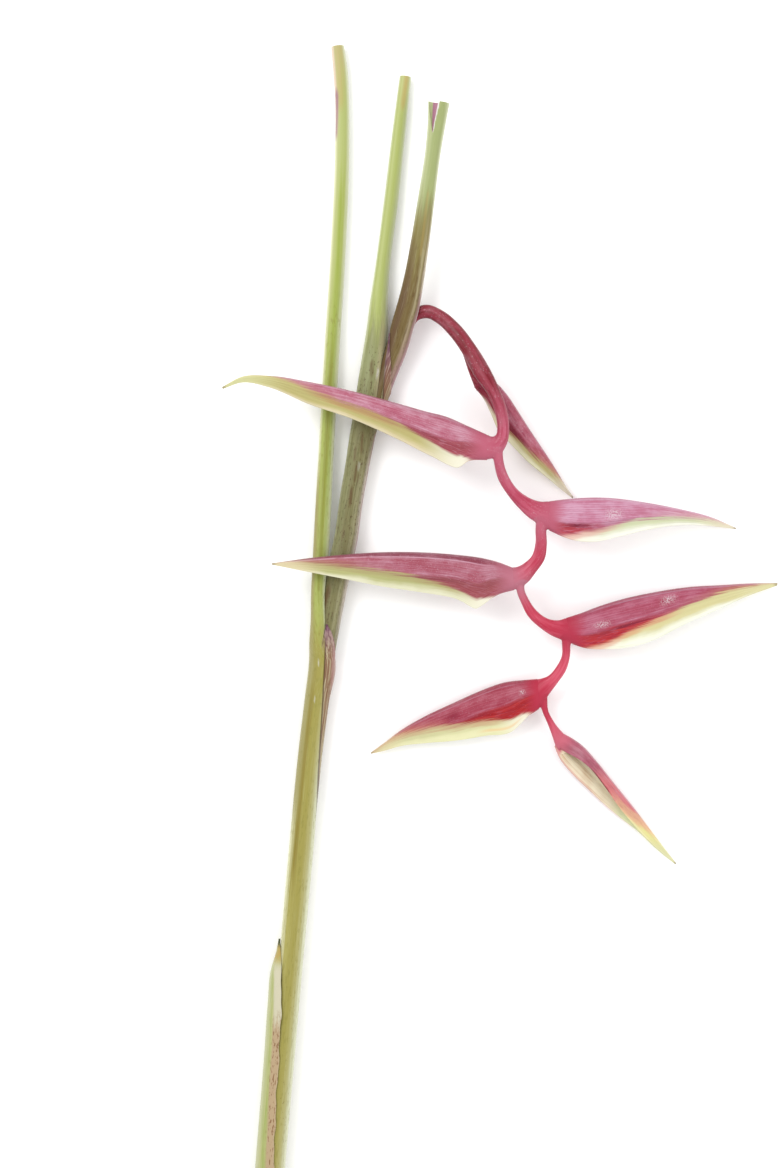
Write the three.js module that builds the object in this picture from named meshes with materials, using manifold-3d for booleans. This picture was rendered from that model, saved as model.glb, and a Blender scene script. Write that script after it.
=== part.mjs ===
// A cut stem of a hanging heliconia, laid down on a flat surface.
//
// Millimetres. +Y runs along the stem from its cut foot to its cut leaf stalks, +X points to the side that the
// flower head hangs to, +Z is up, and z = 0 is the surface. The origin is under the middle of the whole stem.
import * as THREE from "three";
import { mergeVertices } from "three/addons/utils/BufferGeometryUtils.js";
import Module from "manifold-3d";

const wasm = await Module();
wasm.setup();

// ---------------------------------------------------------------- driving dimensions

const GAP = 0.35; // clearance between neighbouring pieces
const JOINT = 0.45; // clearance between the axis's end faces and the bracts that grow on from them
const STEM_SIDES = 14;
const AXIS_SIDES = 12;
const AXIS_BETWEEN = 1; // cross-sections added between two given ones along the axis

// The false stem: [x, y, z, radius] of its middle line, from the cut foot to where the outermost leaf parts from it.
const FALSE_STEM = [
  [-219.5, -605, 13.8, 12],
  [-209.5, -493.5, 13.5, 11.6],
  [-200, -375.5, 13.1, 11.2],
  [-191, -275, 12.5, 10.9],
  [-183, -187.5, 11.3, 10.6],
  [-175, -100, 10.4, 10.8],
  [-166.5, -12.5, 10.3, 10.8],
  [-161, 31.5, 10.5, 11],
  [-156.4, 66.5, 11, 11.7],
];

// How far inside the false stem's outline each nested piece's own outline lies.
const INSET = { leaf_2: 1.8, leaf_3: 3.5, flower_stalk: 5.1 };

// Leaf stalks and the upper false stem: [x, y, z, half width, half height] of the middle line.
const LEAF_1_STALK = [
  [-158.4, 82, 13.2, 9.5, 9.9],
  [-159.3, 101.5, 17, 7.2, 8],
  [-159.8, 120.5, 17.5, 6.4, 6.6],
  [-157.5, 163, 13.5, 6.9, 6],
  [-153, 250.5, 9, 6.7, 6],
  [-148, 338.5, 7.5, 6.6, 6],
  [-142.5, 426.5, 6.9, 6.5, 5.8],
  [-139, 514.5, 6.5, 6.2, 5.6],
  [-139.3, 562.5, 6.2, 6.1, 5.5],
  [-140.6, 584, 6.1, 6.3, 5.5],
  [-143, 605, 6, 5.7, 5.4],
];
const LEAF_2_STALK = [
  [-152, 92.5, 11.5, 10.2, 10.4],
  [-147.5, 119, 11.6, 10.8, 10.8],
  [-142, 145.5, 11.4, 10.6, 10.6],
  [-136, 171.5, 11.3, 10.4, 10.5],
  [-131, 206.5, 11.3, 10.4, 10.5],
  [-125.5, 237.5, 11.4, 10.7, 10.6],
  [-121.5, 261, 11.4, 11.3, 10.8],
  [-117.5, 284, 10.8, 11.4, 10.4],
  [-114.3, 307.5, 9.9, 11.3, 9.6],
  [-110.8, 334, 9, 10.4, 8.6],
  [-108, 357.5, 8.3, 9.5, 7.9],
  [-107, 377, 7.8, 8.1, 7.4],
  [-104.3, 404.5, 7.1, 6.6, 6.6],
  [-96, 470.5, 6.4, 6.2, 6.1],
  [-90.5, 519, 5.9, 5.8, 5.6],
  [-83.5, 578.5, 5.4, 5.1, 5],
];
const LEAF_3_STALK = [
  [-152, 92.5, 11.5, 7.6, 7.6],
  [-147.5, 119, 11.6, 8.1, 8.1],
  [-142, 145.5, 11.4, 8.2, 8.2],
  [-136, 171.5, 11.3, 8.2, 8.2],
  [-131, 206.5, 11.3, 8.3, 8.3],
  [-125.5, 237.5, 11.6, 8.5, 8.3],
  [-120, 261, 11.4, 8.6, 8.2],
  [-112.5, 283.5, 10.6, 8.5, 8],
  [-104.5, 302.5, 10.2, 8.5, 7.6],
  [-97.5, 321.5, 11.6, 8.9, 7.6],
  [-91, 339.5, 14.4, 9.5, 7.8],
  [-86, 358.5, 18, 10.1, 8],
  [-81, 375.5, 21.5, 10, 7.8],
  [-76, 399, 24.5, 9, 7.2],
  [-70.5, 431.5, 27, 8.3, 6.8],
  [-65.5, 466.5, 28.5, 7.6, 6.6],
  [-59.5, 509.5, 29.5, 7, 6.4],
  [-56.8, 531.5, 29.6, 7.8, 6.6],
  [-54.8, 550.5, 29.6, 9.3, 7],
];
const INNER_FLOWER_STALK = [
  [-152, 92.5, 11.5, 5.7, 5.7],
  [-136, 171.5, 11.3, 5.6, 5.6],
  [-125.5, 237.5, 11.4, 5.6, 5.6],
  [-114, 281, 10.8, 5.5, 5.5],
];

// The old basal sheath: [x, y, z of its axis, half width, half height, first angle, last angle in degrees]. The
// angles are counted from +X over the top, so 180 is the left side.
const BASAL_SHEATH_WALL = 1.5;
const BASAL_SHEATH_STEPS = 9; // facets round it
const BASAL_SHEATH_LEAST = 0.4; // least inner radius, where it narrows to its tip
const BASAL_SHEATH = [
  [-219.5, -605, 13.8, 14, 14, 45, 300],
  [-210, -493.5, 13.5, 13.8, 13.7, 60, 295],
  [-201.2, -375.5, 13.1, 13.8, 13.2, 78, 285],
  [-193.4, -275, 12.5, 13.6, 12.6, 92, 272],
  [-192.4, -231.5, 12.4, 11.6, 12.2, 95, 258],
  [-193.3, -205, 12.3, 8.2, 9.5, 108, 245],
  [-192.6, -188, 12.4, 4, 5, 115, 240],
  [-192.2, -177.5, 12.6, 2.4, 2.2, 130, 225],
];

// The zigzag axis. A row is a cross-section: two edge points in plan (x, y, x, y), its middle height and its half
// thickness. Each stretch ends where a bract grows on from it, and the next stretch leaves from its lower side.
const PEDUNCLE = [
  [-105, 311.5, -96, 308, 11, 5.3],
  [-96, 336, -87, 332, 12, 5.5],
  [-87.5, 360, -78.5, 353, 12, 5.6],
  [-78, 373.5, -72.5, 363.5, 14, 5.7],
  [-65.5, 377, -65, 365, 17, 6],
  [-51, 371, -56, 360, 22, 6.2],
  [-38, 359.5, -46, 349.5, 28, 6.4],
  [-23.5, 340, -34, 331.5, 35, 6.6],
  [-11.5, 319.5, -24.5, 312.5, 41, 6.8],
  [-2.5, 300, -13, 296, 44, 6.2],
  [3.5, 283, -7, 281, 45, 5.8],
  [5.5, 267.5, -5, 269, 45, 5.8],
  [3.5, 253.5, -6, 261.5, 44.5, 6],
  [-3.5, 243, -9.5, 260, 44, 6.3],
  [-13.5, 240, -14.5, 262, 44, 6.5],
];
const INTERNODES = [
  [
    [0, 249.5, -10, 249.5, 44, 4.8],
    [0.5, 240, -8, 239.5, 43.5, 4.6],
    [4.5, 227, -4.5, 224.5, 42, 4.4],
    [12.5, 215, 3.5, 211, 40.5, 4.6],
    [23, 207.5, 13, 199.5, 39, 5],
    [31.5, 204.5, 23, 190, 38, 5.6],
    [40.5, 204.5, 40.5, 179.5, 37, 6.5],
  ],
  [
    [29, 191, 38, 191, 37, 4.8],
    [28.5, 179.5, 38, 179.5, 36.5, 4.8],
    [28.5, 168.5, 38.5, 166.5, 36, 4.9],
    [25.5, 157.5, 36.5, 154, 35, 5],
    [19.5, 151.5, 29.5, 143.5, 34, 5.4],
    [13, 148, 20.5, 133, 33.5, 6],
    [8.5, 147.5, 10.5, 128, 33, 6.5],
  ],
  [
    [19.5, 135.5, 11.5, 134.5, 33, 4],
    [19.5, 128, 13, 125, 32.5, 3.9],
    [23.5, 119, 16.5, 116.5, 31.5, 3.9],
    [30.5, 109.5, 22.5, 105, 30, 4],
    [40, 103, 33, 95, 28, 4.4],
    [48, 101.5, 43.5, 88, 26, 5.2],
    [56, 103.5, 61.5, 81, 24, 6.5],
  ],
  [
    [52, 89.5, 60, 89.5, 24, 4],
    [52.5, 80, 60, 80, 23.5, 3.9],
    [52.5, 71, 59.5, 69.5, 22.5, 3.9],
    [47.5, 60.5, 56, 57, 21, 4],
    [41, 53, 49, 46.5, 19, 4.5],
    [35, 50.5, 42.5, 37.5, 17.5, 5.3],
    [31.5, 50, 33, 24, 16, 6],
  ],
  [
    [40.5, 34, 34, 33.5, 16, 3.3],
    [41, 23.5, 35.5, 23, 15.5, 3.2],
    [46, 13, 40.5, 11, 15, 3.3],
    [50, 7.5, 44, 2, 14, 3.8],
    [55, 2, 47.5, -8.5, 13, 5],
  ],
];

// The first bract's foot, which parts from the underside of the axis.
const FIRST_FOOT = [
  [-23.5, 340, -34, 331.5, 34, 5.8],
  [-18.5, 326.5, -29.5, 318, 32, 5.8],
  [-13, 312.5, -24, 304, 29.5, 5],
];

// Bracts: a row is a cross-section again, from the keel to the open margin (x, y, x, y), with its middle height and
// its fullest half thickness. The last bract is turned so that its margins part: its rows add the far margin.
const BRACT_WALL = 1.3;
const BRACTS = [
  {
    open: 1.6,
    rows: [
      [-13, 312.5, -24, 304, 29.5, 5],
      [-4, 307, -16.5, 295.5, 27, 7.5],
      [4, 298.5, -10, 283.5, 25, 9],
      [12.5, 286.5, -3, 268, 22, 10],
      [24, 269, 9.5, 254.5, 18.5, 9.5],
      [36.5, 251, 24.5, 239.5, 14.5, 8],
      [48.5, 233, 41.5, 226, 10, 5.5],
      [56.5, 220, 53, 216.5, 7, 3.3],
      [64, 209.5, 63.5, 208.5, 5, 1.2],
    ],
  },
  {
    open: 2.2,
    rows: [
      [-14.5, 262, -13.5, 240, 44, 6.5],
      [-30, 269, -28, 239.5, 43.5, 9],
      [-45.5, 276, -39.5, 234.5, 43, 10.5],
      [-67, 282, -62.5, 244, 42, 11.5],
      [-93, 289.5, -90, 258, 40.5, 11.5],
      [-127.5, 299, -127.5, 275, 39, 10],
      [-166.5, 307.5, -166.5, 288.5, 38, 8],
      [-201, 313, -202.5, 303.5, 37, 5],
      [-224.5, 312.5, -224.5, 307.5, 36, 3],
      [-242.5, 303.5, -242, 302, 35, 1],
    ],
  },
  {
    open: 2,
    rows: [
      [40.5, 204.5, 40.5, 179.5, 37, 6.5],
      [51.5, 206, 51.5, 174.5, 35.5, 9],
      [67.5, 207.5, 65.5, 170.5, 33.5, 10.5],
      [85, 208, 82.5, 170, 31, 11.5],
      [102.5, 207, 102.5, 174.5, 28, 11.5],
      [125, 204, 125, 180, 24, 10],
      [156, 198.5, 156, 184.5, 17, 7],
      [183.5, 192, 183.5, 184, 10, 4],
      [207, 182.5, 207, 181.5, 4, 1.2],
    ],
  },
  {
    open: 2.2,
    rows: [
      [8.5, 147.5, 10.5, 128, 33, 6.5],
      [-2, 151.5, -1, 125, 33, 9],
      [-17.5, 155.5, -21, 115, 33.5, 11],
      [-41, 158.5, -43.5, 121.5, 34, 12],
      [-71, 160.5, -73, 126.5, 34.5, 11.5],
      [-106, 160.5, -106, 131.5, 35, 10],
      [-136, 158.5, -138, 138, 35.5, 8],
      [-166.5, 155.5, -166.5, 143.5, 35.5, 5],
      [-199.5, 151, -199.5, 150, 35, 1.2],
    ],
  },
  {
    open: 2,
    rows: [
      [56, 103.5, 61.5, 81, 24, 6.5],
      [68.5, 107.5, 72.5, 77.5, 23, 9],
      [86, 114, 90.5, 76.5, 21, 11],
      [108, 120.5, 110.5, 78, 19, 11.5],
      [134.5, 126, 132, 84, 17, 11],
      [165.5, 130.5, 163.5, 99.5, 13.5, 9],
      [192.5, 132, 192.5, 112, 10, 6.5],
      [219, 133.5, 219, 123.5, 6.5, 4],
      [243.5, 134, 243.5, 132, 3.5, 1.2],
    ],
  },
  {
    open: 2,
    rows: [
      [31.5, 50, 33, 24, 16, 6],
      [19, 49, 23.5, 17.5, 15, 8.5],
      [3.5, 47, 9, 4, 12.5, 10],
      [-16.5, 40, -13, 0.5, 10.6, 11],
      [-40, 29.5, -37.5, -3.5, 10.3, 10.8],
      [-66.5, 17, -64.5, -6, 9.2, 8.5],
      [-88.5, 4, -88.5, -9, 7.5, 5.5],
      [-101.5, -6, -101.5, -13, 6, 3.2],
      [-114, -15, -114, -16, 5, 1.2],
    ],
  },
  {
    open: 5,
    rows: [
      [55, 2, 47.5, -8.5, 13, 5, 47, -9],
      [63, -2.5, 57, -14, 12.5, 7, 52.5, -21],
      [72, -9, 66.5, -19, 12, 8.5, 63, -33.5],
      [84.5, -23, 76.5, -26.5, 11.5, 9, 76.5, -46.5],
      [100, -42.5, 91.5, -45, 11, 8.5, 91.5, -60.5],
      [115, -61, 103, -61.5, 10, 7.5, 106.5, -73],
      [129.5, -80, 122.5, -84.5, 8, 5.5, 122.5, -85.5],
      [142, -96.5, 137.5, -99, 6, 3.2, 137, -99.5],
      [154.5, -112.5, 154, -113, 4, 1.2, 154, -113.5],
    ],
  },
];

// ---------------------------------------------------------------- solids from cross-sections

// A closed solid through rings of equally many points. Its ends are flat strips between a ring's two halves.
function throughRings(rings) {
  const count = rings[0].length;
  const corner = (ring, point) => ring * count + (point % count);
  const faces = [];
  for (let i = 0; i + 1 < rings.length; i++)
    for (let j = 0; j < count; j++) {
      faces.push(corner(i, j), corner(i + 1, j), corner(i + 1, j + 1));
      faces.push(corner(i, j), corner(i + 1, j + 1), corner(i, j + 1));
    }
  const last = rings.length - 1;
  for (let j = 0; j < count / 2 - 1; j++) {
    const k = count - 1 - j;
    faces.push(corner(0, j), corner(0, j + 1), corner(0, k));
    faces.push(corner(0, j + 1), corner(0, k - 1), corner(0, k));
    faces.push(corner(last, j), corner(last, k), corner(last, j + 1));
    faces.push(corner(last, j + 1), corner(last, k), corner(last, k - 1));
  }
  const geometry = new THREE.BufferGeometry();
  geometry.setAttribute("position", new THREE.Float32BufferAttribute(rings.flat(2), 3));
  geometry.setIndex(faces);
  return solid(geometry);
}

// A three.js geometry with shared vertices as a manifold-3d solid, with its faces turned outwards.
function solid(geometry) {
  const build = (triVerts) =>
    new wasm.Manifold(
      new wasm.Mesh({
        numProp: 3,
        vertProperties: new Float32Array(geometry.attributes.position.array),
        triVerts,
      }),
    );
  const triVerts = new Uint32Array(geometry.index.array);
  const made = build(triVerts);
  return made.volume() > 0 ? made : build(triVerts.reverse());
}

function shared(geometry) {
  geometry.deleteAttribute("normal");
  geometry.deleteAttribute("uv");
  return mergeVertices(geometry, 1e-4);
}

// The rows and `between` more rows in each span, on a smooth curve through them.
function smooth(rows, between) {
  const middle = ([ax, ay, bx, by, z]) => new THREE.Vector3((ax + bx) / 2, (ay + by) / 2, z);
  const along = [0];
  for (let i = 1; i < rows.length; i++)
    along.push(along[i - 1] + middle(rows[i]).distanceTo(middle(rows[i - 1])));
  const curve = new THREE.CubicInterpolant(along, rows.flat(), rows[0].length);
  const out = [];
  for (let i = 0; i + 1 < rows.length; i++)
    for (let k = 0; k <= between; k++)
      out.push([...curve.evaluate(THREE.MathUtils.lerp(along[i], along[i + 1], k / (between + 1)))]);
  return [...out, rows.at(-1)];
}

// Cross-sections square to a middle line of [x, y, z, half width, half height], from the left edge to the right.
function squareTo(line) {
  return line.map(([x, y, z, halfWidth, halfHeight], i) => {
    const [px, py] = line[Math.max(i - 1, 0)];
    const [qx, qy] = line[Math.min(i + 1, line.length - 1)];
    const side = new THREE.Vector2(qy - py, px - qx).setLength(halfWidth);
    return [x - side.x, y - side.y, x + side.x, y + side.y, z, halfHeight];
  });
}

// An oval ring round a cross-section, `grow` larger all round.
function oval([ax, ay, bx, by, z, half], sides, grow) {
  const reach = 0.5 * (1 + (2 * grow) / Math.hypot(bx - ax, by - ay));
  const ring = [];
  for (let k = 0; k < sides; k++) {
    const angle = ((k + 0.5) * 2 * Math.PI) / sides;
    const across = reach * Math.cos(angle);
    ring.push([
      (ax + bx) / 2 + (bx - ax) * across,
      (ay + by) / 2 + (by - ay) * across,
      z + (half + grow) * Math.sin(angle),
    ]);
  }
  return ring;
}

// A stem of oval sections. A grown one is also longer at both ends, so that it cuts clear through what it goes into.
function stem(rows, sides, grow = 0) {
  const rings = rows.map((row) => oval(row, sides, grow));
  if (grow > 0) {
    rings[0] = pushedOut(rows[1], rows[0], rings[0], grow);
    rings[rings.length - 1] = pushedOut(rows.at(-2), rows.at(-1), rings.at(-1), grow);
  }
  return throughRings(rings);
}

// The end ring, moved square to its own section, away from the row before it.
function pushedOut([pax, pay, pbx, pby], [ax, ay, bx, by], ring, distance) {
  const out = new THREE.Vector2(by - ay, ax - bx).normalize();
  if (out.x * (ax + bx - pax - pbx) + out.y * (ay + by - pay - pby) < 0) out.negate();
  out.multiplyScalar(distance);
  return ring.map(([x, y, z]) => [x + out.x, y + out.y, z]);
}

// The biggest body of a solid: what a cut leaves as a loose scrap is dropped.
function largest(made) {
  return made.decompose().sort((a, b) => b.volume() - a.volume())[0];
}

// ---------------------------------------------------------------- the pieces

// The nested part of a leaf or of the flower stalk inside the false stem, `inset` inside its outline.
function nested(inset) {
  return FALSE_STEM.map(([x, y, z, radius]) => [x, y, z, radius - inset, radius - inset]);
}

const LEAVES = {
  leaf_1: squareTo([...nested(0), ...LEAF_1_STALK]),
  leaf_2: squareTo([...nested(INSET.leaf_2), ...LEAF_2_STALK]),
  leaf_3: squareTo([...nested(INSET.leaf_3), ...LEAF_3_STALK]),
};
const FLOWER_STALK = [
  ...squareTo([...nested(INSET.flower_stalk), ...INNER_FLOWER_STALK]),
  ...smooth(PEDUNCLE, AXIS_BETWEEN),
];

function flowerStalk(grow = 0) {
  let made = stem(FLOWER_STALK, AXIS_SIDES, grow);
  for (const rows of [FIRST_FOOT, ...INTERNODES])
    made = made.add(stem(smooth(rows, AXIS_BETWEEN), AXIS_SIDES, grow));
  return made;
}

function basalSheath() {
  const rings = BASAL_SHEATH.map(([x, y, z, halfWidth, halfHeight, first, last]) => {
    const arc = (inwards) =>
      Array.from({ length: BASAL_SHEATH_STEPS + 1 }, (_, k) => {
        const angle = THREE.MathUtils.degToRad(THREE.MathUtils.lerp(first, last, k / BASAL_SHEATH_STEPS));
        return [
          x + Math.max(halfWidth - inwards, BASAL_SHEATH_LEAST) * Math.cos(angle),
          y,
          z + Math.max(halfHeight - inwards, BASAL_SHEATH_LEAST) * Math.sin(angle),
        ];
      });
    return [...arc(0), ...arc(BASAL_SHEATH_WALL).reverse()];
  });
  return throughRings(rings);
}

// Half thickness of a folded bract, as a share of its fullest, from the keel (0) to the margin (1).
const SHOULDER = 0.36;
const KEEL_SHARE = 0.22;
function foldShare(v, marginShare) {
  if (v < SHOULDER) {
    const rise = Math.sqrt(1 - (1 - v / SHOULDER) ** 2);
    return KEEL_SHARE + (1 - KEEL_SHARE) * rise;
  }
  const fall = 0.5 + 0.5 * Math.cos((Math.PI * (v - SHOULDER)) / (1 - SHOULDER));
  return marginShare + (1 - marginShare) * fall;
}

const BRACT_STEPS = 16; // stretches between cross-sections along a bract
const BRACT_BETWEEN = 7; // cross-sections worked out between two given ones, to pick evenly from
const CAVITY = { first: 1, last: 13 }; // the sections between which it is hollow
const RUN_OUT = 3; // how far the hollow is cut past the margins
const FLANK = [0, 0.06, 0.17, 0.36, 0.6, 0.82, 1]; // from the keel to the margin
const CLOSED_MARGIN = 0.8; // half thickness of the margins where they lie together
const SLIT = 0.25; // least half width of the hollow

// The ring of a bract's outside, or of its hollow, which runs out past the margins.
function bractRing(row, u, open, hollow) {
  const [kx, ky, nx, ny, z, half, fx = nx, fy = ny] = row;
  const margin = Math.min(CLOSED_MARGIN + open * Math.sin(Math.PI * u ** 0.8), half);
  const flank = (mx, my, up) => {
    const depth = Math.hypot(mx - kx, my - ky);
    return FLANK.map((v) => {
      const share = hollow ? THREE.MathUtils.lerp(BRACT_WALL / depth, 1, v) : v;
      const reach = hollow && v === 1 ? 1 + RUN_OUT / depth : share;
      const full = half * foldShare(share, margin / half);
      const thick = hollow ? Math.max(full - BRACT_WALL, SLIT) : full;
      return [kx + (mx - kx) * reach, ky + (my - ky) * reach, z + up * thick];
    });
  };
  return [...flank(nx, ny, 1).reverse(), ...flank(fx, fy, -1)];
}

function bract({ rows, open }, stalk) {
  const wide = rows.map(([kx, ky, nx, ny, z, half, fx = nx, fy = ny]) => [kx, ky, nx, ny, z, half, fx, fy]);
  const fine = smooth(wide, BRACT_BETWEEN);
  const sections = Array.from({ length: BRACT_STEPS + 1 }, (_, i) => {
    const u = i / BRACT_STEPS;
    return { u, row: fine[Math.round(u * (fine.length - 1))] };
  });
  const rings = sections.map(({ u, row }) => bractRing(row, u, open, false));
  rings[0] = pushedOut(sections[1].row, sections[0].row, rings[0], -JOINT);
  const outside = throughRings(rings);
  const inside = throughRings(
    sections.slice(CAVITY.first, CAVITY.last + 1).map(({ u, row }) => bractRing(row, u, open, true)),
  );
  return largest(outside.subtract(inside).subtract(stalk));
}

// ---------------------------------------------------------------- the object

const grown = {
  leaf_1: stem(LEAVES.leaf_1, STEM_SIDES, GAP),
  leaf_2: stem(LEAVES.leaf_2, STEM_SIDES, GAP),
  leaf_3: stem(LEAVES.leaf_3, STEM_SIDES, GAP),
  flower_stalk: flowerStalk(GAP),
};

const pieces = {
  leaf_1: stem(LEAVES.leaf_1, STEM_SIDES).subtract(grown.leaf_2),
  leaf_2: stem(LEAVES.leaf_2, STEM_SIDES).subtract(grown.leaf_3).subtract(grown.flower_stalk),
  leaf_3: stem(LEAVES.leaf_3, STEM_SIDES).subtract(grown.flower_stalk),
  basal_sheath: basalSheath().subtract(grown.leaf_1),
  flower_stalk: flowerStalk(),
};
BRACTS.forEach((bractOf, i) => {
  pieces[`bract_${i + 1}`] = bract(bractOf, grown.flower_stalk);
});

// What lies on the surface is flat there: a block under z = 0 is cut from every piece.
const BLOCK = [700, 1500, 40];
const block = shared(new THREE.BoxGeometry(...BLOCK));
block.translate(0, 0, -BLOCK[2] / 2);
const surface = solid(block);

const COLOURS = {
  leaf_1: [0xb4bb5e, 0.5],
  leaf_2: [0x8b9a5b, 0.5],
  leaf_3: [0x8f8757, 0.5],
  basal_sheath: [0xc3bd7c, 0.6],
  flower_stalk: [0xb5435f, 0.45],
  bract: [0xc0577a, 0.4],
};

const part = new THREE.Group();
for (const [name, piece] of Object.entries(pieces)) {
  const { vertProperties, triVerts } = largest(piece.subtract(surface)).getMesh();
  const geometry = new THREE.BufferGeometry();
  geometry.setAttribute("position", new THREE.BufferAttribute(vertProperties, 3));
  geometry.setIndex(new THREE.BufferAttribute(triVerts, 1));
  geometry.computeVertexNormals();
  const [color, roughness] = COLOURS[name] ?? COLOURS.bract;
  const mesh = new THREE.Mesh(
    geometry,
    new THREE.MeshStandardMaterial({ color, roughness, metalness: 0 }),
  );
  mesh.name = name;
  part.add(mesh);
}

export default part;
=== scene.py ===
"""A cut stem of a hanging heliconia: each CAD node gets a finer piece of the same form, and its looks.

Lengths in the lists are millimetres in the row's frame: +Y runs along the stem from its cut foot to its
cut leaf stalks, +X points to the side that the flower head hangs to, +Z is up, and z = 0 is the surface
that it lies on.
"""

import math
from types import SimpleNamespace

import bpy
import numpy as np
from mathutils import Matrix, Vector
from mathutils.kdtree import KDTree


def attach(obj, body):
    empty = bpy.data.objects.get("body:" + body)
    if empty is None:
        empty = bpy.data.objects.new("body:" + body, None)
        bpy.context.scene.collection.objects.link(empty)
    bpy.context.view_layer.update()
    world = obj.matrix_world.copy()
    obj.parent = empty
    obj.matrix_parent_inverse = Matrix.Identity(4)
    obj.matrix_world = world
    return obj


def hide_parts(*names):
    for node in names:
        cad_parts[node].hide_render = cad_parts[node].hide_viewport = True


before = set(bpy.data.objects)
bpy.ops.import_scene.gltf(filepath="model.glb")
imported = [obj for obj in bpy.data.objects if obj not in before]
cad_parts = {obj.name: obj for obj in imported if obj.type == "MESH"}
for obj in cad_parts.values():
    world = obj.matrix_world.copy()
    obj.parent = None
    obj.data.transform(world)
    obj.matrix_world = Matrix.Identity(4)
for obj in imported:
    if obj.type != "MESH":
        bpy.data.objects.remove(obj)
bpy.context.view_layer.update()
MM = 0.001

# ---------------------------------------------------------------- the CAD's driving dimensions

GAP = 0.35  # clearance between neighbouring pieces

# The false stem: [x, y, z, radius] of its middle line, from the cut foot to where the outermost leaf
# parts from it.
FALSE_STEM = [
    (-219.5, -605, 13.8, 12), (-209.5, -493.5, 13.5, 11.6), (-200, -375.5, 13.1, 11.2),
    (-191, -275, 12.5, 10.9), (-183, -187.5, 11.3, 10.6), (-175, -100, 10.4, 10.8),
    (-166.5, -12.5, 10.3, 10.8), (-161, 31.5, 10.5, 11), (-156.4, 66.5, 11, 11.7),
]
INSET = {"outer": 0, "middle": 1.8, "inner": 3.5, "stalk": 5.1}

# Leaf stalks and the upper false stem: [x, y, z, half width, half height] of the middle line.
OUTER_STALK = [
    (-158.4, 82, 13.2, 9.5, 9.9), (-159.3, 101.5, 17, 7.2, 8), (-159.8, 120.5, 17.5, 6.4, 6.6),
    (-157.5, 163, 13.5, 6.9, 6), (-153, 250.5, 9, 6.7, 6), (-148, 338.5, 7.5, 6.6, 6),
    (-142.5, 426.5, 6.9, 6.5, 5.8), (-139, 514.5, 6.5, 6.2, 5.6), (-139.3, 562.5, 6.2, 6.1, 5.5),
    (-140.6, 584, 6.1, 6.3, 5.5), (-143, 605, 6, 5.7, 5.4),
]
MIDDLE_STALK = [
    (-152, 92.5, 11.5, 10.2, 10.4), (-147.5, 119, 11.6, 10.8, 10.8), (-142, 145.5, 11.4, 10.6, 10.6),
    (-136, 171.5, 11.3, 10.4, 10.5), (-131, 206.5, 11.3, 10.4, 10.5), (-125.5, 237.5, 11.4, 10.7, 10.6),
    (-121.5, 261, 11.4, 11.3, 10.8), (-117.5, 284, 10.8, 11.4, 10.4), (-114.3, 307.5, 9.9, 11.3, 9.6),
    (-110.8, 334, 9, 10.4, 8.6), (-108, 357.5, 8.3, 9.5, 7.9), (-107, 377, 7.8, 8.1, 7.4),
    (-104.3, 404.5, 7.1, 6.6, 6.6), (-96, 470.5, 6.4, 6.2, 6.1), (-90.5, 519, 5.9, 5.8, 5.6),
    (-83.5, 578.5, 5.4, 5.1, 5),
]
INNER_STALK = [
    (-152, 92.5, 11.5, 7.6, 7.6), (-147.5, 119, 11.6, 8.1, 8.1), (-142, 145.5, 11.4, 8.2, 8.2),
    (-136, 171.5, 11.3, 8.2, 8.2), (-131, 206.5, 11.3, 8.3, 8.3), (-125.5, 237.5, 11.6, 8.5, 8.3),
    (-120, 261, 11.4, 8.6, 8.2), (-112.5, 283.5, 10.6, 8.5, 8), (-104.5, 302.5, 10.2, 8.5, 7.6),
    (-97.5, 321.5, 11.6, 8.9, 7.6), (-91, 339.5, 14.4, 9.5, 7.8), (-86, 358.5, 18, 10.1, 8),
    (-81, 375.5, 21.5, 10, 7.8), (-76, 399, 24.5, 9, 7.2), (-70.5, 431.5, 27, 8.3, 6.8),
    (-65.5, 466.5, 28.5, 7.6, 6.6), (-59.5, 509.5, 29.5, 7, 6.4), (-56.8, 531.5, 29.6, 7.8, 6.6),
    (-54.8, 550.5, 29.6, 9.3, 7),
]
INNER_FLOWER_STALK = [
    (-152, 92.5, 11.5, 5.7, 5.7), (-136, 171.5, 11.3, 5.6, 5.6), (-125.5, 237.5, 11.4, 5.6, 5.6),
    (-114, 281, 10.8, 5.5, 5.5),
]

# The old basal sheath: [x, y, z of its axis, half width, half height, first angle, last angle in
# degrees]. The angles are counted from +X over the top, so 180 is the left side.
BASAL_WALL = 1.5
BASAL_SHEATH = [
    (-219.5, -605, 13.8, 14, 14, 45, 300), (-210, -493.5, 13.5, 13.8, 13.7, 60, 295),
    (-201.2, -375.5, 13.1, 13.8, 13.2, 78, 285), (-193.4, -275, 12.5, 13.6, 12.6, 92, 272),
    (-192.4, -231.5, 12.4, 11.6, 12.2, 86, 258), (-193.3, -205, 12.3, 8.2, 9.5, 80, 245),
    (-192.6, -188, 12.4, 4, 5, 90, 240), (-192.2, -177.5, 12.6, 2.4, 2.2, 130, 225),
]

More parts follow.
